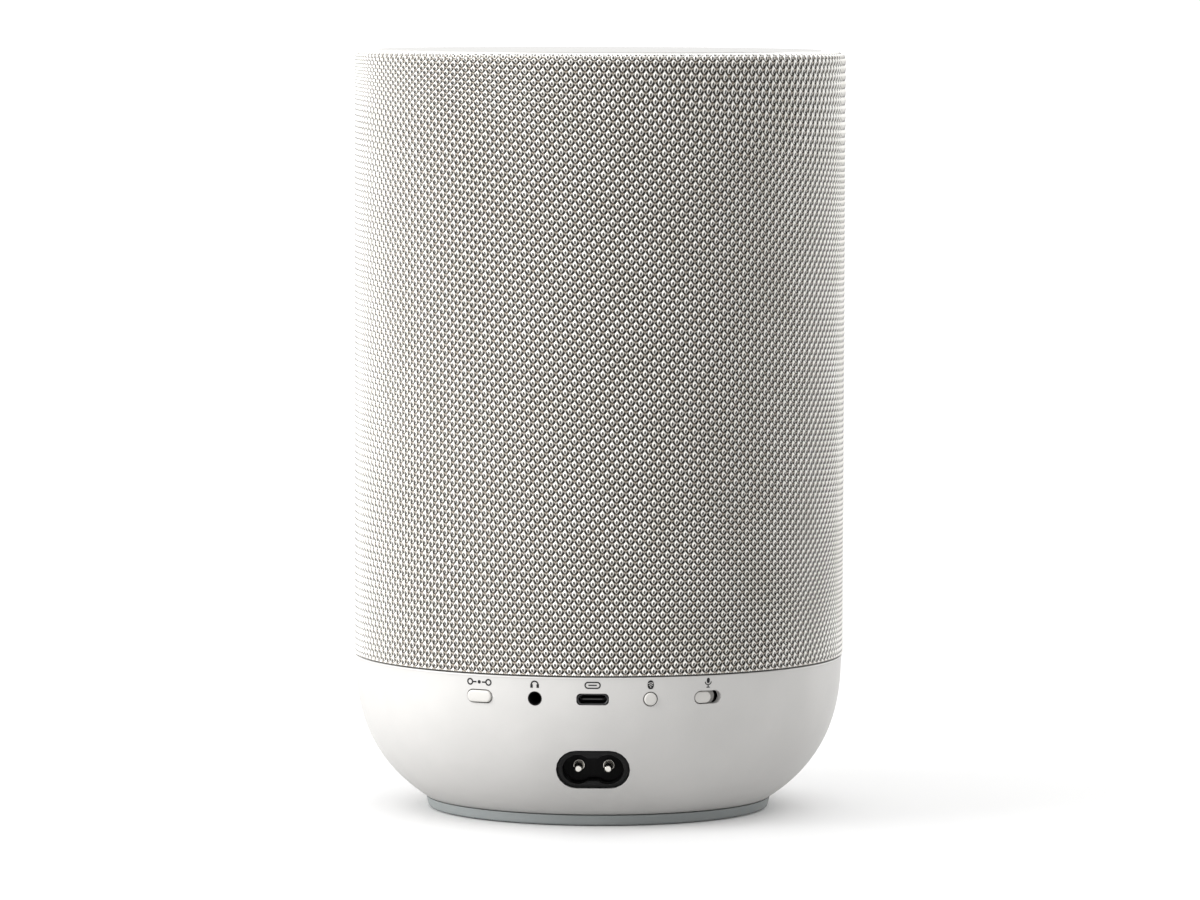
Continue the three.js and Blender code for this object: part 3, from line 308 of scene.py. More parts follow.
def knit():
    """White loops with a slot in each, holes by their feet and beige threads between, with painted
    shade: the slots and holes near black, dark under each loop's foot and between the threads.
    """
    paint = Paint(
        "knitted_yarn", Specular_IOR_Level=0.25, Sheen_Weight=0.6, Sheen_Roughness=0.4
    )
    uv = paint.node("ShaderNodeUVMap", {}, uv_map="stitch").outputs["UV"]
    axes = paint.node("ShaderNodeSeparateXYZ", {0: uv}).outputs
    u, v = Number(paint, axes["X"]), Number(paint, axes["Y"])

    def oval(across, up, place, half, slant=0.0):
        up = up - place[1]
        across = (across - place[0] - up * slant) / half[0]
        up = up / half[1]
        return across * across + up * up

    loops, slots, holes, foot_shades = [], [], [], []
    for shift in (0.0, 0.5):
        across = abs(((u + shift).fraction() - 0.5) * STITCH_PITCH)
        up = ((v + shift).fraction() - 0.5) * (2 * ROW_PITCH)
        tall = abs(up - LOOP_RAISED) / LOOP_HALF_HEIGHT
        loops.append((across / LOOP_HALF_WIDTH) ** PEAK + tall**PEAK)
        slots.append(oval(across, up, SLOT_PLACE, SLOT_HALF))
        holes.append(oval(across, up, HOLE_PLACE, HOLE_HALF, HOLE_SLANT))
        foot_shades.append(oval(across, up, FOOT_SHADE_PLACE, FOOT_SHADE_HALF))
    loop = loops[0].least(loops[1])
    slot = slots[0].least(slots[1]).step(1.45, 0.75)
    hole = holes[0].least(holes[1]).step(1.4, 0.85)
    spot = foot_shades[0].least(foot_shades[1]).step(1.5, 0.3)
    rising = abs((u + v).fraction() - 0.5)
    falling = abs((u - v).fraction() - 0.5)
    strand = rising.least(falling).step(0.17, 0.07)
    wander = paint.noise(0.9, 2.0, vector=uv).step(0.35, 0.65)
    fibre = paint.noise(5200.0, 3.0, 0.7)
    patch = paint.noise(70.0, 3.0).step(0.3, 0.7)
    thread = paint.mix(wander, rgb(0.415, 0.376, 0.318), rgb(0.53, 0.502, 0.452))
    # Painted shade: the gaps between the slanting threads are painted dark brown.
    thread = paint.mix(strand, rgb(0.085, 0.074, 0.058), thread)
    yarn = paint.mix(patch, rgb(0.79, 0.775, 0.735), rgb(0.86, 0.845, 0.815))
    colour = paint.mix(loop.step(1.05, 0.72), thread, yarn)
    # Painted shade: a dark brown spot under each loop's foot.
    colour = paint.mix(spot * 0.8, colour, rgb(0.085, 0.06, 0.04))
    # Painted shade: the holes by the loops' feet are painted near black.
    colour = paint.mix(hole, colour, rgb(0.014, 0.012, 0.011))
    # Painted shade: each loop's slot is painted near black.
    colour = paint.mix(slot * 0.95, colour, rgb(0.022, 0.02, 0.018))
    colour = paint.mix(fibre.step(0.3, 0.75) * 0.12, colour, rgb(0.25, 0.23, 0.2))
    paint.set(Base_Color=colour, Roughness=fibre * 0.1 + 0.86)
    paint.bump(fibre + strand * 0.5 - (hole + slot) * 0.8, 0.10 * MM)
    return paint.material


# ---- Mesh helpers ----

TOUCHING = 1e-7  # places closer together than this are one
SHARP = 35  # edges over this angle, in degrees, stay sharp
FILLET_POINTS = 5


def piece(name, vertices, faces, material, body="housing", sharp=SHARP):
    """A smooth-shaded piece on a body."""
    mesh = bpy.data.meshes.new(name)
    mesh.from_pydata([tuple(place) for place in vertices], [], [tuple(face) for face in faces])
    made = bpy.data.objects.new(name, mesh)
    bpy.context.scene.collection.objects.link(made)
    mesh.materials.append(material)
    return settled(made, body, sharp)


def settled(made, body, sharp):
    """Turns a piece's faces out, shades it smooth and puts it on its body."""
    shape = bmesh.new()
    shape.from_mesh(made.data)
    bmesh.ops.remove_doubles(shape, verts=shape.verts, dist=TOUCHING)
    bmesh.ops.recalc_face_normals(shape, faces=shape.faces)
    shape.to_mesh(made.data)
    shape.free()
    made.data.polygons.foreach_set("use_smooth", [True] * len(made.data.polygons))
    made.data.set_sharp_from_angle(angle=math.radians(sharp))
    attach(made, body)
    return made


def softened(points):
    """A closed outline of (radius, height, fillet) corners, with its corners rounded."""
    outline = []
    count = len(points)
    for i, (across, height, fillet) in enumerate(points):
        here = np.array([across, height])
        before = np.array(points[i - 1][:2]) - here
        after = np.array(points[(i + 1) % count][:2]) - here
        if fillet <= 0:
            outline.append(tuple(here))
            continue
        start = here + before / np.linalg.norm(before) * fillet
        end = here + after / np.linalg.norm(after) * fillet
        for t in np.linspace(0, 1, FILLET_POINTS):
            outline.append(tuple((1 - t) ** 2 * start + 2 * (1 - t) * t * here + t * t * end))
    return outline


def turned(name, outline, material, segments, matrix=None):
    """A closed outline of (radius, height) turned about Z. Points on the axis are shared."""
    vertices, rings = [], []
    for radius, height in outline:
        if radius < TOUCHING:
            rings.append([len(vertices)] * segments)
            vertices.append((0.0, 0.0, height))
            continue
        rings.append(range(len(vertices), len(vertices) + segments))
        for angle in np.arange(segments) * (2 * math.pi / segments):
            vertices.append((radius * math.cos(angle), radius * math.sin(angle), height))
    faces = []
    for first, second in zip(rings, rings[1:] + rings[:1]):
        for i in range(segments):
            j = (i + 1) % segments
            corners = dict.fromkeys((first[i], first[j], second[j], second[i]))
            if len(corners) > 2:
                faces.append(tuple(corners))
    if matrix:
        vertices = [matrix @ Vector(place) for place in vertices]
    return piece(name, vertices, faces, material)


def pill(length, height, inset=0.0, steps=10):
    """The outline of a slot with round ends, drawn in by an inset."""
    radius = height / 2 - inset
    reach = length / 2 - height / 2
    turn = np.linspace(-math.pi / 2, math.pi / 2, steps + 1)
    right = [(reach + radius * math.cos(a), radius * math.sin(a)) for a in turn]
    return right + [(-x, -y) for x, y in right]


def lofted(name, levels, material, matrix, body="housing", sharp=SHARP):
    """A solid through outlines of equal length: levels is a list of (outline, depth)."""
    vertices = [matrix @ Vector((x, y, depth)) for outline, depth in levels for x, y in outline]
    count = len(levels[0][0])
    faces = []
    for level in range(len(levels) - 1):
        for i in range(count):
            j = (i + 1) % count
            here, there = level * count, (level + 1) * count
            faces.append((here + i, here + j, there + j, there + i))
    faces.append(tuple(range(count)))
    faces.append(tuple(range(len(vertices) - count, len(vertices))))
    return piece(name, vertices, faces, material, body, sharp)


def cut_by(made, cutters):
    """Cuts solids out of a piece and throws the cutters away."""
    for cutter in cutters:
        change = made.modifiers.new("cut", "BOOLEAN")
        change.object = cutter
        change.solver = "EXACT"
    bpy.context.view_layer.update()
    graph = bpy.context.evaluated_depsgraph_get()
    mesh = bpy.data.meshes.new_from_object(made.evaluated_get(graph))
    made.modifiers.clear()
    made.data = mesh
    for cutter in cutters:
        bpy.data.objects.remove(cutter)
    mesh.polygons.foreach_set("use_smooth", [True] * len(mesh.polygons))
    mesh.set_sharp_from_angle(angle=math.radians(SHARP))


def rear_place(angle, height):
    """A frame on the shell's rear: +Z out, +Y down, +X towards rising angles."""
    across = Vector((math.cos(angle), -math.sin(angle), 0))
    out_of = Vector((math.sin(angle), math.cos(angle), 0))
    turn = Matrix((across, Vector((0, 0, -1)), out_of)).transposed().to_4x4()
    centre = out_of * shell_radius(height)
    centre.z = height
    return Matrix.Translation(centre) @ turn


# ---- Finishes, one for each slot of the record ----

finishes = {
    "shell_plastic": moulded("shell_plastic", (0.437, 0.43, 0.419), 0.52),
    "knit_fabric": knit(),
    "foot_rubber": moulded("foot_rubber", (0.205, 0.22, 0.22), 0.7),
    "button_plastic": moulded("button_plastic", (0.45, 0.44, 0.42), 0.45, 0.02 * MM),
    "panel_plastic": moulded("panel_plastic", (0.34, 0.336, 0.327), 0.42, 0.02 * MM),
    "diffuser": moulded("diffuser", (0.86, 0.86, 0.84), 0.35, 0.01 * MM),
    "socket_plastic": moulded(
        "socket_plastic", (0.005, 0.005, 0.005), 0.5, Specular_IOR_Level=0.15
    ),
    "dark_metal": metal("dark_metal", (0.09, 0.09, 0.092), 0.45),
    "nickel": metal("nickel", (0.76, 0.74, 0.69), 0.24),
    "steel": metal("steel", (0.58, 0.58, 0.59), 0.34),
    "ferrite": moulded("ferrite", (0.035, 0.035, 0.037), 0.6, 0.05 * MM),
    "cone": pulp("cone_paper", (0.014, 0.014, 0.015)),
    "surround_rubber": moulded("surround_rubber", (0.012, 0.012, 0.012), 0.62),
    "copper": metal("copper", (0.80, 0.42, 0.25), 0.3, (1.0, 14.0, 1.0)),
    "driver_cloth": woven("driver_cloth", (0.30, 0.17, 0.06)),
    "aluminium": metal("aluminium", (0.66, 0.67, 0.68), 0.36),
    "foam": moulded("foam", (0.045, 0.045, 0.048), 0.9, 0.25 * MM, 1500.0, 0.2),
    "cable": moulded("cable", (0.06, 0.062, 0.066), 0.5),
    "circuit_board": circuit_board("circuit_board"),
    "inner_plastic": moulded("inner_plastic", (0.022, 0.023, 0.026), 0.55),
}
for part in frame["record"]["subparts"]:
    mesh = frame["nodes"][part["node"]].data
    mesh.materials.clear()
    mesh.materials.append(finishes[part["material_slot"]])


def stands_for(made, node):
    """The piece replaces this CAD node, which is hidden."""
    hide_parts(node)


# ---- The knitted sleeve ----

COLUMNS = 6  # mesh columns in each stitch
ROWS = 8  # mesh rows in two rows of stitches
RELIEF = 0.62 * MM
SUNK = 0.52 * MM  # how far the middle of the relief lies under the nominal surface
THREAD_LEVEL = -0.3  # of the threads between loops, in shares of the relief
SLOT_DEPTH = 0.55
SLOT_SPREAD = (2.2, 1.6)  # of the hollow round a slot, in shares of the dark slot
HOLE_DEPTH = 0.7
HOLE_SPREAD = (1.9, 1.4)
ROW_SLOPE = math.radians(7)
SLOPE_FROM_SEAM = 60 * MM  # over which the rows take up their slope
SLOPE_FROM_RIM = 30 * MM
SMOOTH_END = 0.8 * MM  # over which the relief fades at the sleeve's two edges
FABRIC = BODY_RADIUS - 71.1 * MM
TOP_CORNER = 2.4 * MM
SEAM_CURL = 0.5 * MM
LIP_CURL = 0.6 * MM
TOP_EDGE = 67.9 * MM
CORNER = (BODY_RADIUS - TOP_CORNER, SLEEVE_TOP - TOP_CORNER)


def arc(centre, radius, start, end, count):
    """Points on an arc, from one angle to another, in degrees."""
    turn = np.radians(np.linspace(start, end, count))
    return [(centre[0] + radius * math.cos(a), centre[1] + radius * math.sin(a)) for a in turn]


def sleeve_profile():
    """The fabric's outside, from the seam up and over the top rim."""
    seam = (BODY_RADIUS - SEAM_CURL, SLEEVE_BOTTOM + SEAM_CURL)
    lip = (TOP_EDGE + LIP_CURL, SLEEVE_TOP - LIP_CURL)
    profile = arc(seam, SEAM_CURL, -90, 0, 6)
    profile += arc(CORNER, TOP_CORNER, 0, 90, 12)
    profile += arc(lip, LIP_CURL, 90, 180, 6)
    return np.array(profile)


def sleeve_lining():
    """The fabric's inside, from the lip back down to the seam."""
    inner = BODY_RADIUS - FABRIC
    lining = [(TOP_EDGE + 0.3 * MM, SLEEVE_TOP - FABRIC)]
    lining += arc(CORNER, TOP_CORNER - FABRIC, 90, 0, 5)
    lining += [(inner, SLEEVE_BOTTOM + 1 * MM), (inner + 0.2 * MM, SLEEVE_BOTTOM + 0.1 * MM)]
    return np.array(lining)


def superellipse(across, up, half_width, half_height, power):
    return np.abs(across / half_width) ** power + np.abs(up / half_height) ** power


def stitch_height(u, v):
    """The relief of the knit, from -1 in a hole to 1 on a loop's crest."""
    height = np.full(u.shape, THREAD_LEVEL)
    hollow = np.zeros(u.shape)
    for shift in (0.0, 0.5):
        across = (np.mod(u + shift, 1) - 0.5) * STITCH_PITCH
        up = (np.mod(v + shift, 1) - 0.5) * 2 * ROW_PITCH
        loop = superellipse(across, up - LOOP_RAISED, LOOP_HALF_WIDTH, LOOP_HALF_HEIGHT, PEAK)
        crest = np.sqrt(np.clip(1 - loop, 0, 1))
        height = np.maximum(height, (1 - THREAD_LEVEL) * crest + THREAD_LEVEL)
        slot_size = np.multiply(SLOT_SPREAD, SLOT_HALF)
        slot = superellipse(across, up - SLOT_PLACE[1], *slot_size, 2)
        from_hole = up - HOLE_PLACE[1]
        aside = np.abs(across) - HOLE_PLACE[0] - HOLE_SLANT * from_hole
        hole = superellipse(aside, from_hole, *np.multiply(HOLE_SPREAD, HOLE_HALF), 2)
        hollow += SLOT_DEPTH * np.clip(1 - slot, 0, 1) + HOLE_DEPTH * np.clip(1 - hole, 0, 1)
    return np.maximum(height - hollow, -1)


def eased(share):
    """0 to 1 with a gentle start and end."""
    share = np.clip(share, 0, 1)
    return share * share * (3 - 2 * share)


def sleeve_surface(u, v, turn, profile, along):
    """Radius and height of the knit's outside at lattice places, with its relief."""
    length = along[-1]
    flat = v * 2 * ROW_PITCH
    lean = BODY_RADIUS * math.tan(ROW_SLOPE)
    lean = lean * eased(flat / SLOPE_FROM_SEAM) * eased((length - flat) / SLOPE_FROM_RIM)
    travel = flat + lean * np.sin(turn)

    def profile_at(place):
        return np.interp(place, along, profile[:, 0]), np.interp(place, along, profile[:, 1])

    near = 0.15 * MM
    radius, height = profile_at(travel)
    radius_before, height_before = profile_at(travel - near)
    radius_after, height_after = profile_at(travel + near)
    facing_out = height_after - height_before
    facing_up = radius_before - radius_after
    size = np.hypot(facing_out, facing_up)
    ends = np.clip(np.minimum(travel, length - travel) / SMOOTH_END, 0, 1)
    rise = (stitch_height(u, v) * RELIEF - SUNK) * ends
    return radius + rise * facing_out / size, height + rise * facing_up / size


def quad_mesh(name, places, faces):
    mesh = bpy.data.meshes.new(name)
    mesh.vertices.add(places.size // 3)
    mesh.vertices.foreach_set("co", places.ravel())
    mesh.loops.add(faces.size)
    mesh.loops.foreach_set("vertex_index", faces.ravel().astype(np.int32))
    mesh.polygons.add(len(faces))
    mesh.polygons.foreach_set("loop_start", np.arange(0, faces.size, 4, dtype=np.int32))
    mesh.update(calc_edges=True)
    mesh.polygons.foreach_set("use_smooth", [True] * len(faces))
    return mesh


def make_sleeve():
    profile = sleeve_profile()
    along = np.append(0, np.cumsum(np.hypot(*np.diff(profile, axis=0).T)))
    length = along[-1]
    columns = STITCHES_ROUND * COLUMNS
    pairs_of_rows = length / (2 * ROW_PITCH)
    rows = int(pairs_of_rows * ROWS)
    lattice_up = np.linspace(0, pairs_of_rows, rows + 1)
    v, u = np.meshgrid(lattice_up, np.arange(columns) / COLUMNS, indexing="ij")
    turn = u * (2 * math.pi / STITCHES_ROUND)
    radius, height = sleeve_surface(u, v, turn, profile, along)
    inner = sleeve_lining()[:, :, None] * np.ones((1, 1, columns))
    radius = np.vstack([radius, inner[:, 0]])
    height = np.vstack([height, inner[:, 1]])
    levels = len(radius)
    turn = np.broadcast_to(turn[0], radius.shape)
    places = np.stack([radius * np.sin(turn), radius * np.cos(turn), height], axis=-1)
    level, column = np.meshgrid(np.arange(levels), np.arange(columns), indexing="ij")
    beside = (column + 1) % columns
    above = (level + 1) % levels
    corners = [(level, column), (above, column), (above, beside), (level, beside)]
    faces = np.stack([j * columns + i for j, i in corners], axis=-1).reshape(-1, 4)
    mesh = quad_mesh("knitted_sleeve", places, faces)

    # Lattice coordinates for the finish; the lining repeats the rows behind it.
    lined = levels - rows - 1
    lattice = np.append(v[:, 0], np.linspace(pairs_of_rows, 0, lined))
    right = np.stack([column, column, column + 1, column + 1], axis=-1)
    up = np.stack([lattice[level], lattice[above], lattice[above], lattice[level]], axis=-1)
    stitch = mesh.uv_layers.new(name="stitch")
    stitch.data.foreach_set("uv", np.stack([right / COLUMNS, up], axis=-1).ravel())

    # The same for baking: two bands, each half the way round.
    half = columns // 2
    band = (column // half)[..., None]
    across = (right - band * half) / half * 0.98 + 0.01
    share = np.append(np.linspace(0, 0.92, rows + 1), np.linspace(0.925, 0.98, lined))
    share = np.append(share, 0.99)
    upper = np.stack([share[level], share[level + 1], share[level + 1], share[level]], axis=-1)
    bake = mesh.uv_layers.new(name="OFBake")
    bake.data.foreach_set("uv", np.stack([across, (upper + band) * 0.5], axis=-1).ravel())

    mesh.materials.append(finishes["knit_fabric"])
    made = bpy.data.objects.new("knitted_sleeve", mesh)
    bpy.context.scene.collection.objects.link(made)
    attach(made, "housing")
    stands_for(made, "fabric_sleeve")


make_sleeve()

# ---- The base ----

WALL = 2.4 * MM
FLOOR_TOP = SHELL_BOTTOM + 2.4 * MM
FLOOR_OPENING = 30 * MM
RIM_LIP = 0.35 * MM  # rounding of the shell's upper edge
EDGE_BEVEL = 0.1 * MM
COVER_SCREW_CIRCLE = 36 * MM
COVER_SCREW_HOLE = 3.4 * MM
GAP = 0.3 * MM
HAIR = 0.001 * MM  # keeps the two halves of a round outline apart
PILL = (8.4 * MM, 4.0 * MM)
SLOT = (8.6 * MM, 3.9 * MM)
ROUND_HOLE = 4.3 * MM
ROUND = (ROUND_HOLE + HAIR, ROUND_HOLE)
USB = (8.94 * MM, 3.2 * MM)
USB_HOLE = (9.3 * MM, 3.4 * MM, 1.2 * MM)
AUDIO_HOLE = 4.2 * MM
SOCKET_RECESS = 0.5 * MM
CUT_FROM, CUT_TO = -8 * MM, 3 * MM  # depths of a cutter through the shell's wall
INLET = (20.7 * MM, 11.2 * MM)
INLET_RECESS = 0.7 * MM
INLET_DEPTH = 20 * MM
INLET_CUT_TO = 12 * MM

connect_place = rear_place(angle_of("connect_button"), PORT_HEIGHT)
audio_place = rear_place(angle_of("audio_jack"), PORT_HEIGHT)
usb_place = rear_place(0, PORT_HEIGHT)
pairing_place = rear_place(angle_of("pairing_button"), PORT_HEIGHT)
slider_place = rear_place(angle_of("slide_switch"), PORT_HEIGHT)
inlet_place = rear_place(0, INLET_HEIGHT)


def rod(length, height, start, end, place):
    """A cutter: a pill-shaped bar between two depths."""
    outline = pill(length, height)
    return lofted("cutter", [(outline, start), (outline, end)], finishes["steel"], place)


def soft_box(width, height, corner, inset=0.0, steps=6):
    """The outline of a rectangle with round corners, drawn in by an inset."""
    across, up = width / 2 - corner, height / 2 - corner
    points = []
    for quarter, (side, top) in enumerate(((1, 1), (-1, 1), (-1, -1), (1, -1))):
        start = 90 * quarter
        points += arc((side * across, top * up), corner - inset, start, start + 90, steps)
    return points


def base_outline():
    """The bowl's section: down the outside, across the floor and up the inside."""
    steep = np.gradient(SIDE, axis=0)
    steep /= np.hypot(*steep.T)[:, None]
    inside = SIDE + np.stack([steep[:, 1], -steep[:, 0]], axis=-1) * WALL
    inside = inside[(inside[:, 1] > FLOOR_TOP) & (inside[:, 1] < SHELL_TOP)][::16]
    outline = [(RIM_RADIUS - 0.005 * MM, SHELL_TOP - RIM_LIP)]
    outline += [tuple(point) for point in shell_side(56) if point[1] < SHELL_TOP - RIM_LIP]
    outline += [
        (FLOOR_OPENING, SHELL_BOTTOM),
        (FLOOR_OPENING, FLOOR_TOP),
        (inside[-1][0] - 1 * MM, FLOOR_TOP),
    ]
    outline += [tuple(point) for point in inside[::-1]]
    return outline + [
        (inside[0][0], SHELL_TOP),
        (RIM_RADIUS - RIM_LIP, SHELL_TOP),
        (RIM_RADIUS - 0.1 * MM, SHELL_TOP - 0.1 * MM),
    ]


def make_base():
    base = turned("base_bowl", base_outline(), finishes["shell_plastic"], 288)
    usb_hole = soft_box(*USB_HOLE)
    usb_cut = [(usb_hole, CUT_FROM), (usb_hole, CUT_TO)]
    inlet_hole = (INLET[0] + 2 * GAP, INLET[1] + 2 * GAP)
    cutters = [
        rod(*PILL, CUT_FROM, CUT_TO, connect_place),
        rod(AUDIO_HOLE + HAIR, AUDIO_HOLE, CUT_FROM, CUT_TO, audio_place),
        lofted("cutter", usb_cut, finishes["steel"], usb_place),
        rod(*ROUND, CUT_FROM, CUT_TO, pairing_place),
        rod(*SLOT, CUT_FROM, CUT_TO, slider_place),
        rod(*inlet_hole, -INLET_DEPTH, INLET_CUT_TO, inlet_place),
    ]
    for i in range(3):
        angle = math.pi / 2 + i * 2 * math.pi / 3
        across = COVER_SCREW_CIRCLE * Vector((math.cos(angle), math.sin(angle), 0))
        hole = (COVER_SCREW_HOLE, COVER_SCREW_HOLE - HAIR)
        cutters.append(rod(*hole, 0, 8 * MM, Matrix.Translation(across)))
    cut_by(base, cutters)
    bevel = base.modifiers.new("edges", "BEVEL")
    bevel.width = EDGE_BEVEL
    bevel.segments = 2
    bevel.limit_method = "ANGLE"
    bevel.angle_limit = math.radians(50)
    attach(base, "housing")
    stands_for(base, "base_shell")


make_base()

FOOT_INNER = FOOT_RADIUS - 7.6 * MM
foot_outline = softened([
    (FOOT_INNER, 0, 0.3 * MM),
    (FOOT_RADIUS - 0.7 * MM, 0, 0.8 * MM),
    (FOOT_RADIUS, FOOT_TOP, 0.3 * MM),
    (FOOT_INNER, FOOT_TOP, 0.3 * MM),
])
stands_for(turned("foot_tread", foot_outline, finishes["foot_rubber"], 256), "foot_ring")

# ---- The top ----

MICROPHONE_REACH = 40 * MM  # from the middle of the panel
MICROPHONE_HOLE = 1.4 * MM

panel_outline = softened([
    (0, PANEL_BOTTOM, 0),
    (PANEL_RADIUS, PANEL_BOTTOM, 0.2 * MM),
    (PANEL_RADIUS, BODY_TOP, 0.6 * MM),
    (0, BODY_TOP, 0),
])
panel = turned("touch_panel", panel_outline, finishes["panel_plastic"], 256)
holes = []
for side in (-1, 1):
    spot = Matrix.Translation((side * MICROPHONE_REACH, 0, BODY_TOP))
    holes.append(rod(MICROPHONE_HOLE + HAIR, MICROPHONE_HOLE, -3 * MM, 1 * MM, spot))
cut_by(panel, holes)
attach(panel, "housing")
stands_for(panel, "top_panel")

low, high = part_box("light_ring")
light_outline = softened([
    (high[0] - 2 * MM, low[2], 0.1 * MM),
    (high[0], low[2], 0.1 * MM),
    (high[0], high[2], 0.4 * MM),
    (high[0] - 2 * MM, high[2], 0.4 * MM),
])
stands_for(turned("light_guide", light_outline, finishes["diffuser"], 256), "light_ring")

# ---- Buttons and the slider ----

USB_DEPTH = 7.4 * MM  # of the part that stands behind the wall
usb_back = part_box("usb_socket")[0].y - usb_place.translation.y
wall_back = usb_back + USB_DEPTH  # the wall's inside, with a small gap
behind = wall_back - 0.9 * MM  # back of the flange that keeps a button in


def button(name, length, height, place, node):
    """A cap with a soft edge and a slightly domed face, on a flange behind the wall.

    It rides the body of the same name as the node it stands for.
    """
    cap = (length - 2 * GAP, height - 2 * GAP)
    flange = pill(length + 0.8 * MM, height + 0.8 * MM, steps=14)
    levels = [(flange, behind), (flange, wall_back)]
    crown = ((0, 0.1), (0.04, 0.27), (0.13, 0.40), (0.28, 0.47), (0.6, 0.50), (1.1, 0.53))
    for inset, depth in ((0, wall_back / MM), *crown):
        levels.append((pill(*cap, inset * MM, steps=14), depth * MM))
    made = lofted(name, levels, finishes["button_plastic"], place, node, 50)
    stands_for(made, node)


button("connect_key", *PILL, connect_place, "connect_button")
button("pairing_key", *ROUND, pairing_place, "pairing_button")

SLIDER_TRAVEL = 2.9 * MM
knob_place = slider_place @ Matrix.Translation((SLIDER_TRAVEL / 2, 0, 0))
knob = (SLOT[0] - SLIDER_TRAVEL - 2 * GAP, SLOT[1] - 2 * GAP)
plate = pill(SLOT[0] + 1.6 * MM, SLOT[1] + 0.8 * MM, steps=14)
levels = [(plate, behind), (plate, wall_back)]
crown = ((0, -0.45), (0.06, -0.30), (0.2, -0.22), (0.45, -0.2), (1.0, -0.18))
for inset, depth in ((0, wall_back / MM), *crown):
    levels.append((pill(*knob, inset * MM, steps=14), depth * MM))
finish = finishes["button_plastic"]
slider = lofted("microphone_slider", levels, finish, knob_place, "mic_slider", 50)
stands_for(slider, "mic_slider")

# ---- Sockets ----

USB_SHEET = 0.35 * MM
usb_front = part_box("usb_socket")[1].y - usb_place.translation.y
rim = 0.1 * MM
cavity_back = usb_back + 1 * MM
levels = [
    (pill(*USB), usb_back),
    (pill(*USB), usb_front - rim),
    (pill(*USB, rim), usb_front),
    (pill(*USB, USB_SHEET - rim), usb_front),
    (pill(*USB, USB_SHEET), usb_front - rim),
    (pill(*USB, USB_SHEET), cavity_back),
]
made = lofted("usb_shell", levels, finishes["dark_metal"], usb_place)
stands_for(made, "usb_socket")
low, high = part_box("usb_tongue")
tongue_back = low[1] - usb_place.translation.y
tongue_front = high[1] - usb_place.translation.y
half = (3.3 * MM, 0.35 * MM)


def plate_outline(half_width, half_height, inset=0.0):
    across, up = half_width - inset, half_height - inset
    return [(across, -up), (across, up), (-across, up), (-across, -up)]


levels = [
    (plate_outline(*half), tongue_back),
    (plate_outline(*half), tongue_front - 0.2 * MM),
    (plate_outline(*half, 0.15 * MM), tongue_front),
]
made = lofted("usb_contact_tongue", levels, finishes["socket_plastic"], usb_place)
stands_for(made, "usb_tongue")
strip = plate_outline(2.7 * MM, 0.1 * MM)
strip_ends = [(strip, tongue_front - 0.3 * MM), (strip, tongue_front + 0.02 * MM)]
made = lofted("tongue_edge_plate", strip_ends, finishes["dark_metal"], usb_place)

# ---- Mains inlet ----

PIN_PITCH = 8.6 * MM
LOBE = 4.5 * MM
WAIST = 7 * MM
CAVITY_DEPTH = 13 * MM
ROUND_STEPS = 144
TINY = 1e-9


def reach_of(angle, circle_radius, circle_reach, half_height):
    """How far a slot or a figure of eight reaches from its middle, at an angle."""
    across, up = abs(math.cos(angle)), abs(math.sin(angle))
    found = min(circle_reach / max(across, TINY), half_height / max(up, TINY))
    if circle_reach * up <= circle_radius:
        beyond = math.sqrt(circle_radius**2 - (circle_reach * up) ** 2)
        found = max(found, circle_reach * across + beyond)
    return found


def round_outline(circle_radius, circle_reach, half_height):
    points = []
    for angle in np.arange(ROUND_STEPS) * (2 * math.pi / ROUND_STEPS):
        reach = reach_of(angle, circle_radius, circle_reach, half_height)
        points.append((reach * math.cos(angle), reach * math.sin(angle)))
    return points


def inlet_face(across, down):
    """Depth of the inlet's face, which follows the shell, at a place on it."""
    radius = shell_radius(INLET_HEIGHT - down) - INLET_RECESS
    return math.sqrt(radius**2 - across**2) - inlet_place.translation.y


def outer(inset):
    """The inlet's outline, drawn in by an inset."""
    radius = INLET[1] / 2 - inset
    return round_outline(radius, (INLET[0] - INLET[1]) / 2, radius)


def cavity(inset):
    """The outline of the inlet's opening, drawn in by an inset."""
    return round_outline(LOBE - inset, PIN_PITCH / 2, WAIST / 2 - inset)


def faced(outline, sunk):
    """An outline laid on the inlet's face, or sunk below it."""
    return [(x, y, inlet_face(x, y) - sunk) for x, y in outline]


def at_depth(outline, depth):
    return [(x, y, depth) for x, y in outline]


def make_inlet():
    rings = [
        at_depth(outer(0), -INLET_DEPTH),
        faced(outer(0), 0.35 * MM),
        faced(outer(0.1 * MM), 0.1 * MM),
        faced(outer(0.35 * MM), 0),
        faced(cavity(-0.3 * MM), 0),
        faced(cavity(-0.08 * MM), 0.08 * MM),
        faced(cavity(0), 0.3 * MM),
        at_depth(cavity(0), -CAVITY_DEPTH),
    ]
    vertices = [inlet_place @ Vector(place) for ring in rings for place in ring]
    faces = []
    for i in range(len(rings) - 1):
        for j in range(ROUND_STEPS):
            k = (j + 1) % ROUND_STEPS
            here, there = i * ROUND_STEPS, (i + 1) * ROUND_STEPS
            faces.append((here + j, here + k, there + k, there + j))
    faces.append(range(ROUND_STEPS))
    faces.append(range(len(vertices) - ROUND_STEPS, len(vertices)))
    made = piece("mains_inlet_body", vertices, faces, finishes["socket_plastic"])
    stands_for(made, "mains_inlet")


make_inlet()

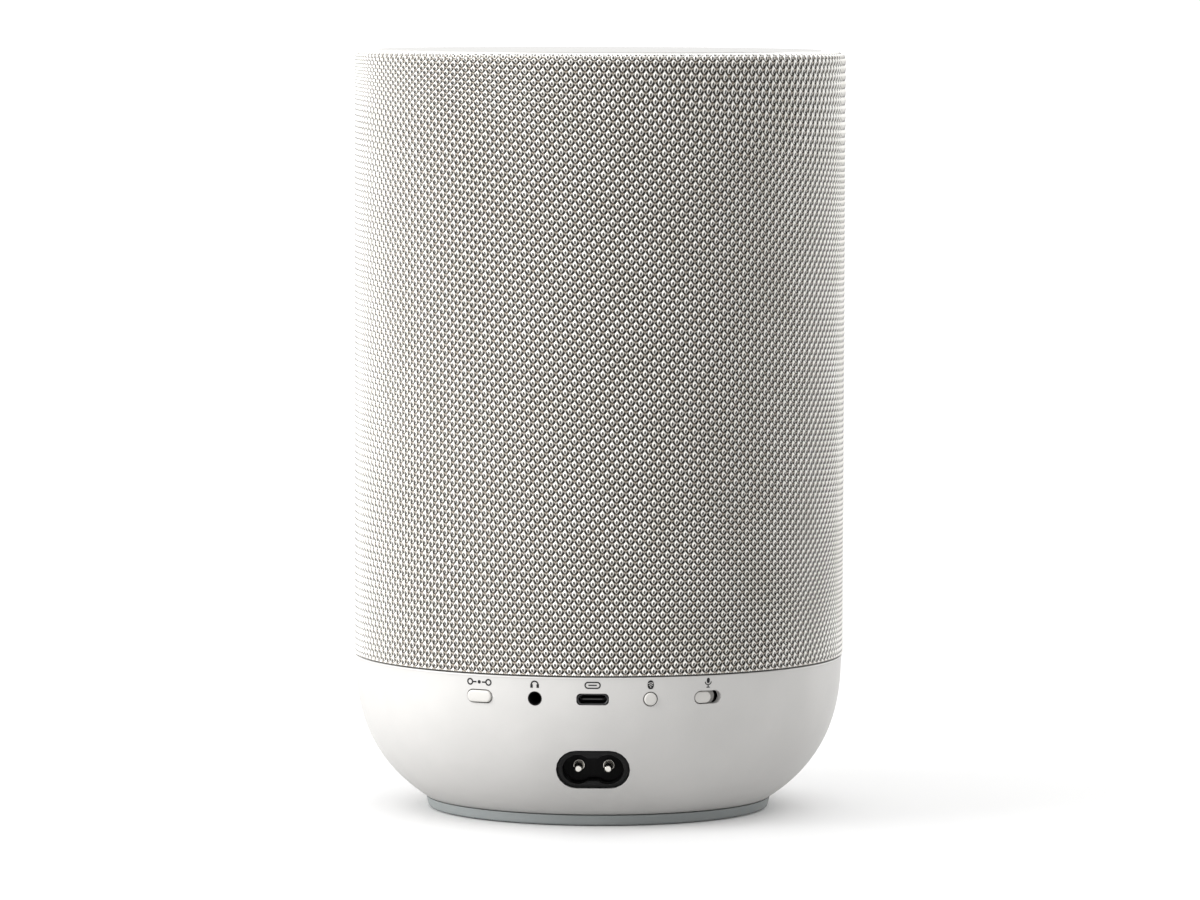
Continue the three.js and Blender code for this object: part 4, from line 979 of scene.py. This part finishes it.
PIN_START = -CAVITY_DEPTH + 0.3 * MM
PIN_LENGTH = 9 * MM
PIN_RADIUS = 1.2 * MM
PIN_TIP = 0.8 * MM  # rounding of the free end
for side, node in ((-1, "mains_pin_left"), (1, "mains_pin_right")):
    outline = [(0, PIN_START), (1.65 * MM, PIN_START)]  # with a collar at its root
    outline += arc((1.5 * MM, PIN_START + 0.45 * MM), 0.25 * MM, 0, 180, 9)
    outline += [(PIN_RADIUS, PIN_START + 0.3 * MM)]
    tip = (PIN_RADIUS - PIN_TIP, PIN_START + PIN_LENGTH - PIN_TIP)
    outline += arc(tip, PIN_TIP, 0, 90, 8)
    outline += [(0, PIN_START + PIN_LENGTH)]
    place = inlet_place @ Matrix.Translation((side * PIN_PITCH / 2, 0, 0))
    made = turned(node + "_rod", outline, finishes["nickel"], 40, matrix=place)
    stands_for(made, node)

# ---- Audio socket ----

AUDIO_BORE = 1.75 * MM
AUDIO_NOSE = 2.0 * MM
AUDIO_DEPTH = 12 * MM
AUDIO_BODY = (6.4 * MM, 6 * MM, 0.3 * MM)
nose_end = -SOCKET_RECESS + 0.3 * MM
nose = softened([
    (AUDIO_BORE, wall_back, 0),
    (AUDIO_NOSE, wall_back, 0),
    (AUDIO_NOSE, nose_end, 0.12 * MM),
    (AUDIO_BORE, nose_end, 0.12 * MM),
])
made = turned("audio_nose", nose, finishes["socket_plastic"], 64, matrix=audio_place)
audio_back = wall_back - AUDIO_DEPTH
body_outline = soft_box(*AUDIO_BODY, steps=3)
levels = [
    (soft_box(*AUDIO_BODY, 0.15 * MM, 3), audio_back),
    (body_outline, audio_back + 0.15 * MM),
    (body_outline, wall_back),
]
body = lofted("audio_socket_body", levels, finishes["socket_plastic"], audio_place)
bore = pill(2 * AUDIO_BORE + HAIR, 2 * AUDIO_BORE, steps=24)
bore_ends = [(bore, audio_back + 1.5 * MM), (bore, 1 * MM)]
cut_by(body, [lofted("cutter", bore_ends, finishes["steel"], audio_place)])
stands_for(body, "audio_jack")

# ---- Printed signs over the controls ----

SIGN_RISE = 4.1 * MM  # over the row of controls
LINE = 0.42 * MM
THIN_LINE = 0.28 * MM
PRINT_OUT, PRINT_IN = 0.045 * MM, -0.05 * MM  # reach of a print from the shell's surface


def ribbon(points, width=LINE, closed=False):
    """The quads of a line with a width."""
    places = [np.array(point) for point in points]
    count = len(places)
    sides = []
    for i, here in enumerate(places):
        before = places[i - 1] if i or closed else here
        after = places[(i + 1) % count] if i < count - 1 or closed else here
        along = (after - before) / np.linalg.norm(after - before)
        out = np.array([-along[1], along[0]]) * width / 2
        sides.append((here + out, here - out))
    pairs = zip(sides, sides[1:] + sides[:1]) if closed else zip(sides, sides[1:])
    return [[a[0], a[1], b[1], b[0]] for a, b in pairs]


def bow(centre, radius, start, end, count=17):
    middle = (centre[0] * MM, centre[1] * MM)
    return [(x, y) for x, y in arc(middle, radius * MM, start, end, count)]


def line(*points):
    return [(x * MM, y * MM) for x, y in points]


def flattish(value):
    return np.sign(value) * np.abs(value) ** 0.85


def oval(centre, half_width, half_height, count=36):
    """A filled oval with flattish sides."""
    turn = np.arange(count) * (2 * math.pi / count)
    across = centre[0] + half_width * flattish(np.cos(turn))
    up = centre[1] + half_height * flattish(np.sin(turn))
    return [[(x * MM, y * MM) for x, y in zip(across, up)]]


def print_on(name, shapes, angle, material, rise=0.0):
    """A thin print on the shell.

    Its shapes are outlines, to the right and up as seen from behind.
    """
    vertices, faces = [], []
    for outline in shapes:
        start, count = len(vertices), len(outline)
        for lift in (PRINT_OUT + rise, PRINT_IN):
            for right, up in outline:
                height = PORT_HEIGHT + SIGN_RISE + up
                radius = shell_radius(height)
                turn = angle - right / radius
                radius += lift
                vertices.append((radius * math.sin(turn), radius * math.cos(turn), height))
        faces.append(range(start, start + count))
        faces.append(range(start + count, start + 2 * count))
        for i in range(count):
            j = (i + 1) % count
            faces.append((start + i, start + j, start + count + j, start + count + i))
    piece(name, vertices, faces, material)


ink = moulded("sign_ink", (0.012, 0.012, 0.0125), 0.6, 0.01 * MM, Specular_IOR_Level=0.2)
pale_ink = moulded("pale_sign_ink", (0.42, 0.41, 0.40), 0.6, 0.01 * MM)

# The shapes below are drawn in millimetres.
rings = oval((0, 0), 0.5, 0.5, 24)
for side in (-1, 1):
    rings += ribbon(bow((side * 3.0, 0), 0.8, 0, 360, 33)[:-1], closed=True)
    rings += ribbon(line((side * 2.0, 0), (side * 0.9, 0)))
print_on("link_sign", rings, angle_of("connect_button"), ink)

headphones = ribbon(bow((0, -0.1), 1.0, 0, 180))
for side in (-1, 1):
    near, far = side * 0.55, side * 1.28
    headphones.append(line((near, 0), (near, -1.0), (far, -1.0), (far, 0)))
print_on("headphones_sign", headphones, angle_of("audio_jack"), ink)

port = ribbon(soft_box(4.3 * MM, 1.7 * MM, 0.84 * MM), 0.38 * MM, closed=True)
port += ribbon(line((-1.2, 0), (1.2, 0)), 0.36 * MM)
print_on("small_port_sign", port, 0.0, ink)

print_on("pairing_badge", oval((0, 0.05), 0.92, 1.28), angle_of("pairing_button"), ink)
waves = ribbon(bow((0, -0.7), 0.75, 45, 135, 9), 0.19 * MM)
waves += ribbon(bow((0, -0.7), 1.3, 56, 124, 9), 0.19 * MM)
waves += oval((0, -0.55), 0.17, 0.17, 12)
print_on("pairing_waves", waves, angle_of("pairing_button"), pale_ink, 0.03 * MM)

voice = oval((0, 0.75), 0.48, 0.78, 24)
voice += ribbon(bow((0, 0.5), 0.98, 185, 355), THIN_LINE)
voice += ribbon(line((0, -0.4), (0, -1.1)), THIN_LINE)
voice += ribbon(line((-0.5, -1.2), (0.5, -1.2)), THIN_LINE)
print_on("microphone_sign", voice, angle_of("slide_switch"), ink)

# ---- Floor, light and camera ----

FLOOR_RADIUS = 6.0
FLOOR_CORNERS = 96
FLOOR_LEVEL = -0.2 * MM


def stage_floor():
    paint = Paint("floor_paper")
    shades = rgb(0.94, 0.94, 0.94), rgb(0.96, 0.96, 0.96)
    paint.set(Base_Color=paint.mix(paint.noise(9.0), *shades))
    paint.set(Roughness=paint.noise(30.0) * 0.05 + 0.85)
    turn = np.arange(FLOOR_CORNERS) * (2 * math.pi / FLOOR_CORNERS)
    rim = np.stack([np.cos(turn), np.sin(turn)], axis=-1) * FLOOR_RADIUS
    mesh = bpy.data.meshes.new("floor")
    mesh.from_pydata([(x, y, FLOOR_LEVEL) for x, y in rim], [], [range(FLOOR_CORNERS)])
    mesh.materials.append(paint.material)
    floor = bpy.data.objects.new("floor", mesh)
    bpy.context.scene.collection.objects.link(floor)
    return floor


def lamp(name, place, aim, size, power, lit=None):
    light = bpy.data.lights.new(name, "AREA")
    light.shape = "RECTANGLE"
    light.size, light.size_y = size
    light.energy = power
    made = bpy.data.objects.new(name, light)
    made.location = place
    made.rotation_euler = (Vector(aim) - Vector(place)).to_track_quat("-Z", "Y").to_euler()
    bpy.context.scene.collection.objects.link(made)
    made.light_linking.receiver_collection = lit


# Most of the lamps' light is kept off the floor, so it stays evenly white under the sky's light.
off_the_floor = bpy.data.collections.new("off_the_floor")
off_the_floor.objects.link(stage_floor())
off_the_floor.collection_objects[0].light_linking.link_state = "EXCLUDE"
lamp("key", (1.22, 0.5, 1.0), (0, 0, 0.12), (1.1, 1.1), 35.0, off_the_floor)
lamp("low_key", (1.2, 0.5, 0.55), (0, 0, 0.08), (0.8, 0.8), 7.0)
lamp("edge", (-0.9, -0.8, 0.9), (0, 0, 0.14), (0.5, 0.9), 15.0, off_the_floor)

world = bpy.data.worlds.new("studio")
world.use_nodes = True
world.node_tree.nodes["Background"].inputs["Color"].default_value = rgb(1, 1, 1)
world.node_tree.nodes["Background"].inputs["Strength"].default_value = 1.14

scene = bpy.context.scene
scene.world = world
scene.view_settings.view_transform = "Standard"

AZIMUTH = math.radians(-1.3)  # round from straight behind, towards +X
CAMERA_REACH = 1.972
CAMERA_HEIGHT = 0.2474
CAMERA_AIM = (-0.0003, 0, 0.1053)
CAMERA_ROLL = math.radians(0.165)
camera_data = bpy.data.cameras.new("camera")
camera_data.lens = 200.7
camera_data.sensor_width = 36
camera = bpy.data.objects.new("camera", camera_data)
behind_it = (CAMERA_REACH * math.sin(AZIMUTH), CAMERA_REACH * math.cos(AZIMUTH))
camera.location = (*behind_it, CAMERA_HEIGHT)
look = (Vector(CAMERA_AIM) - camera.location).to_track_quat("-Z", "Y")
roll = Matrix.Rotation(CAMERA_ROLL, 3, "Z").to_quaternion()
camera.rotation_euler = (look @ roll).to_euler()
scene.collection.objects.link(camera)
scene.camera = camera
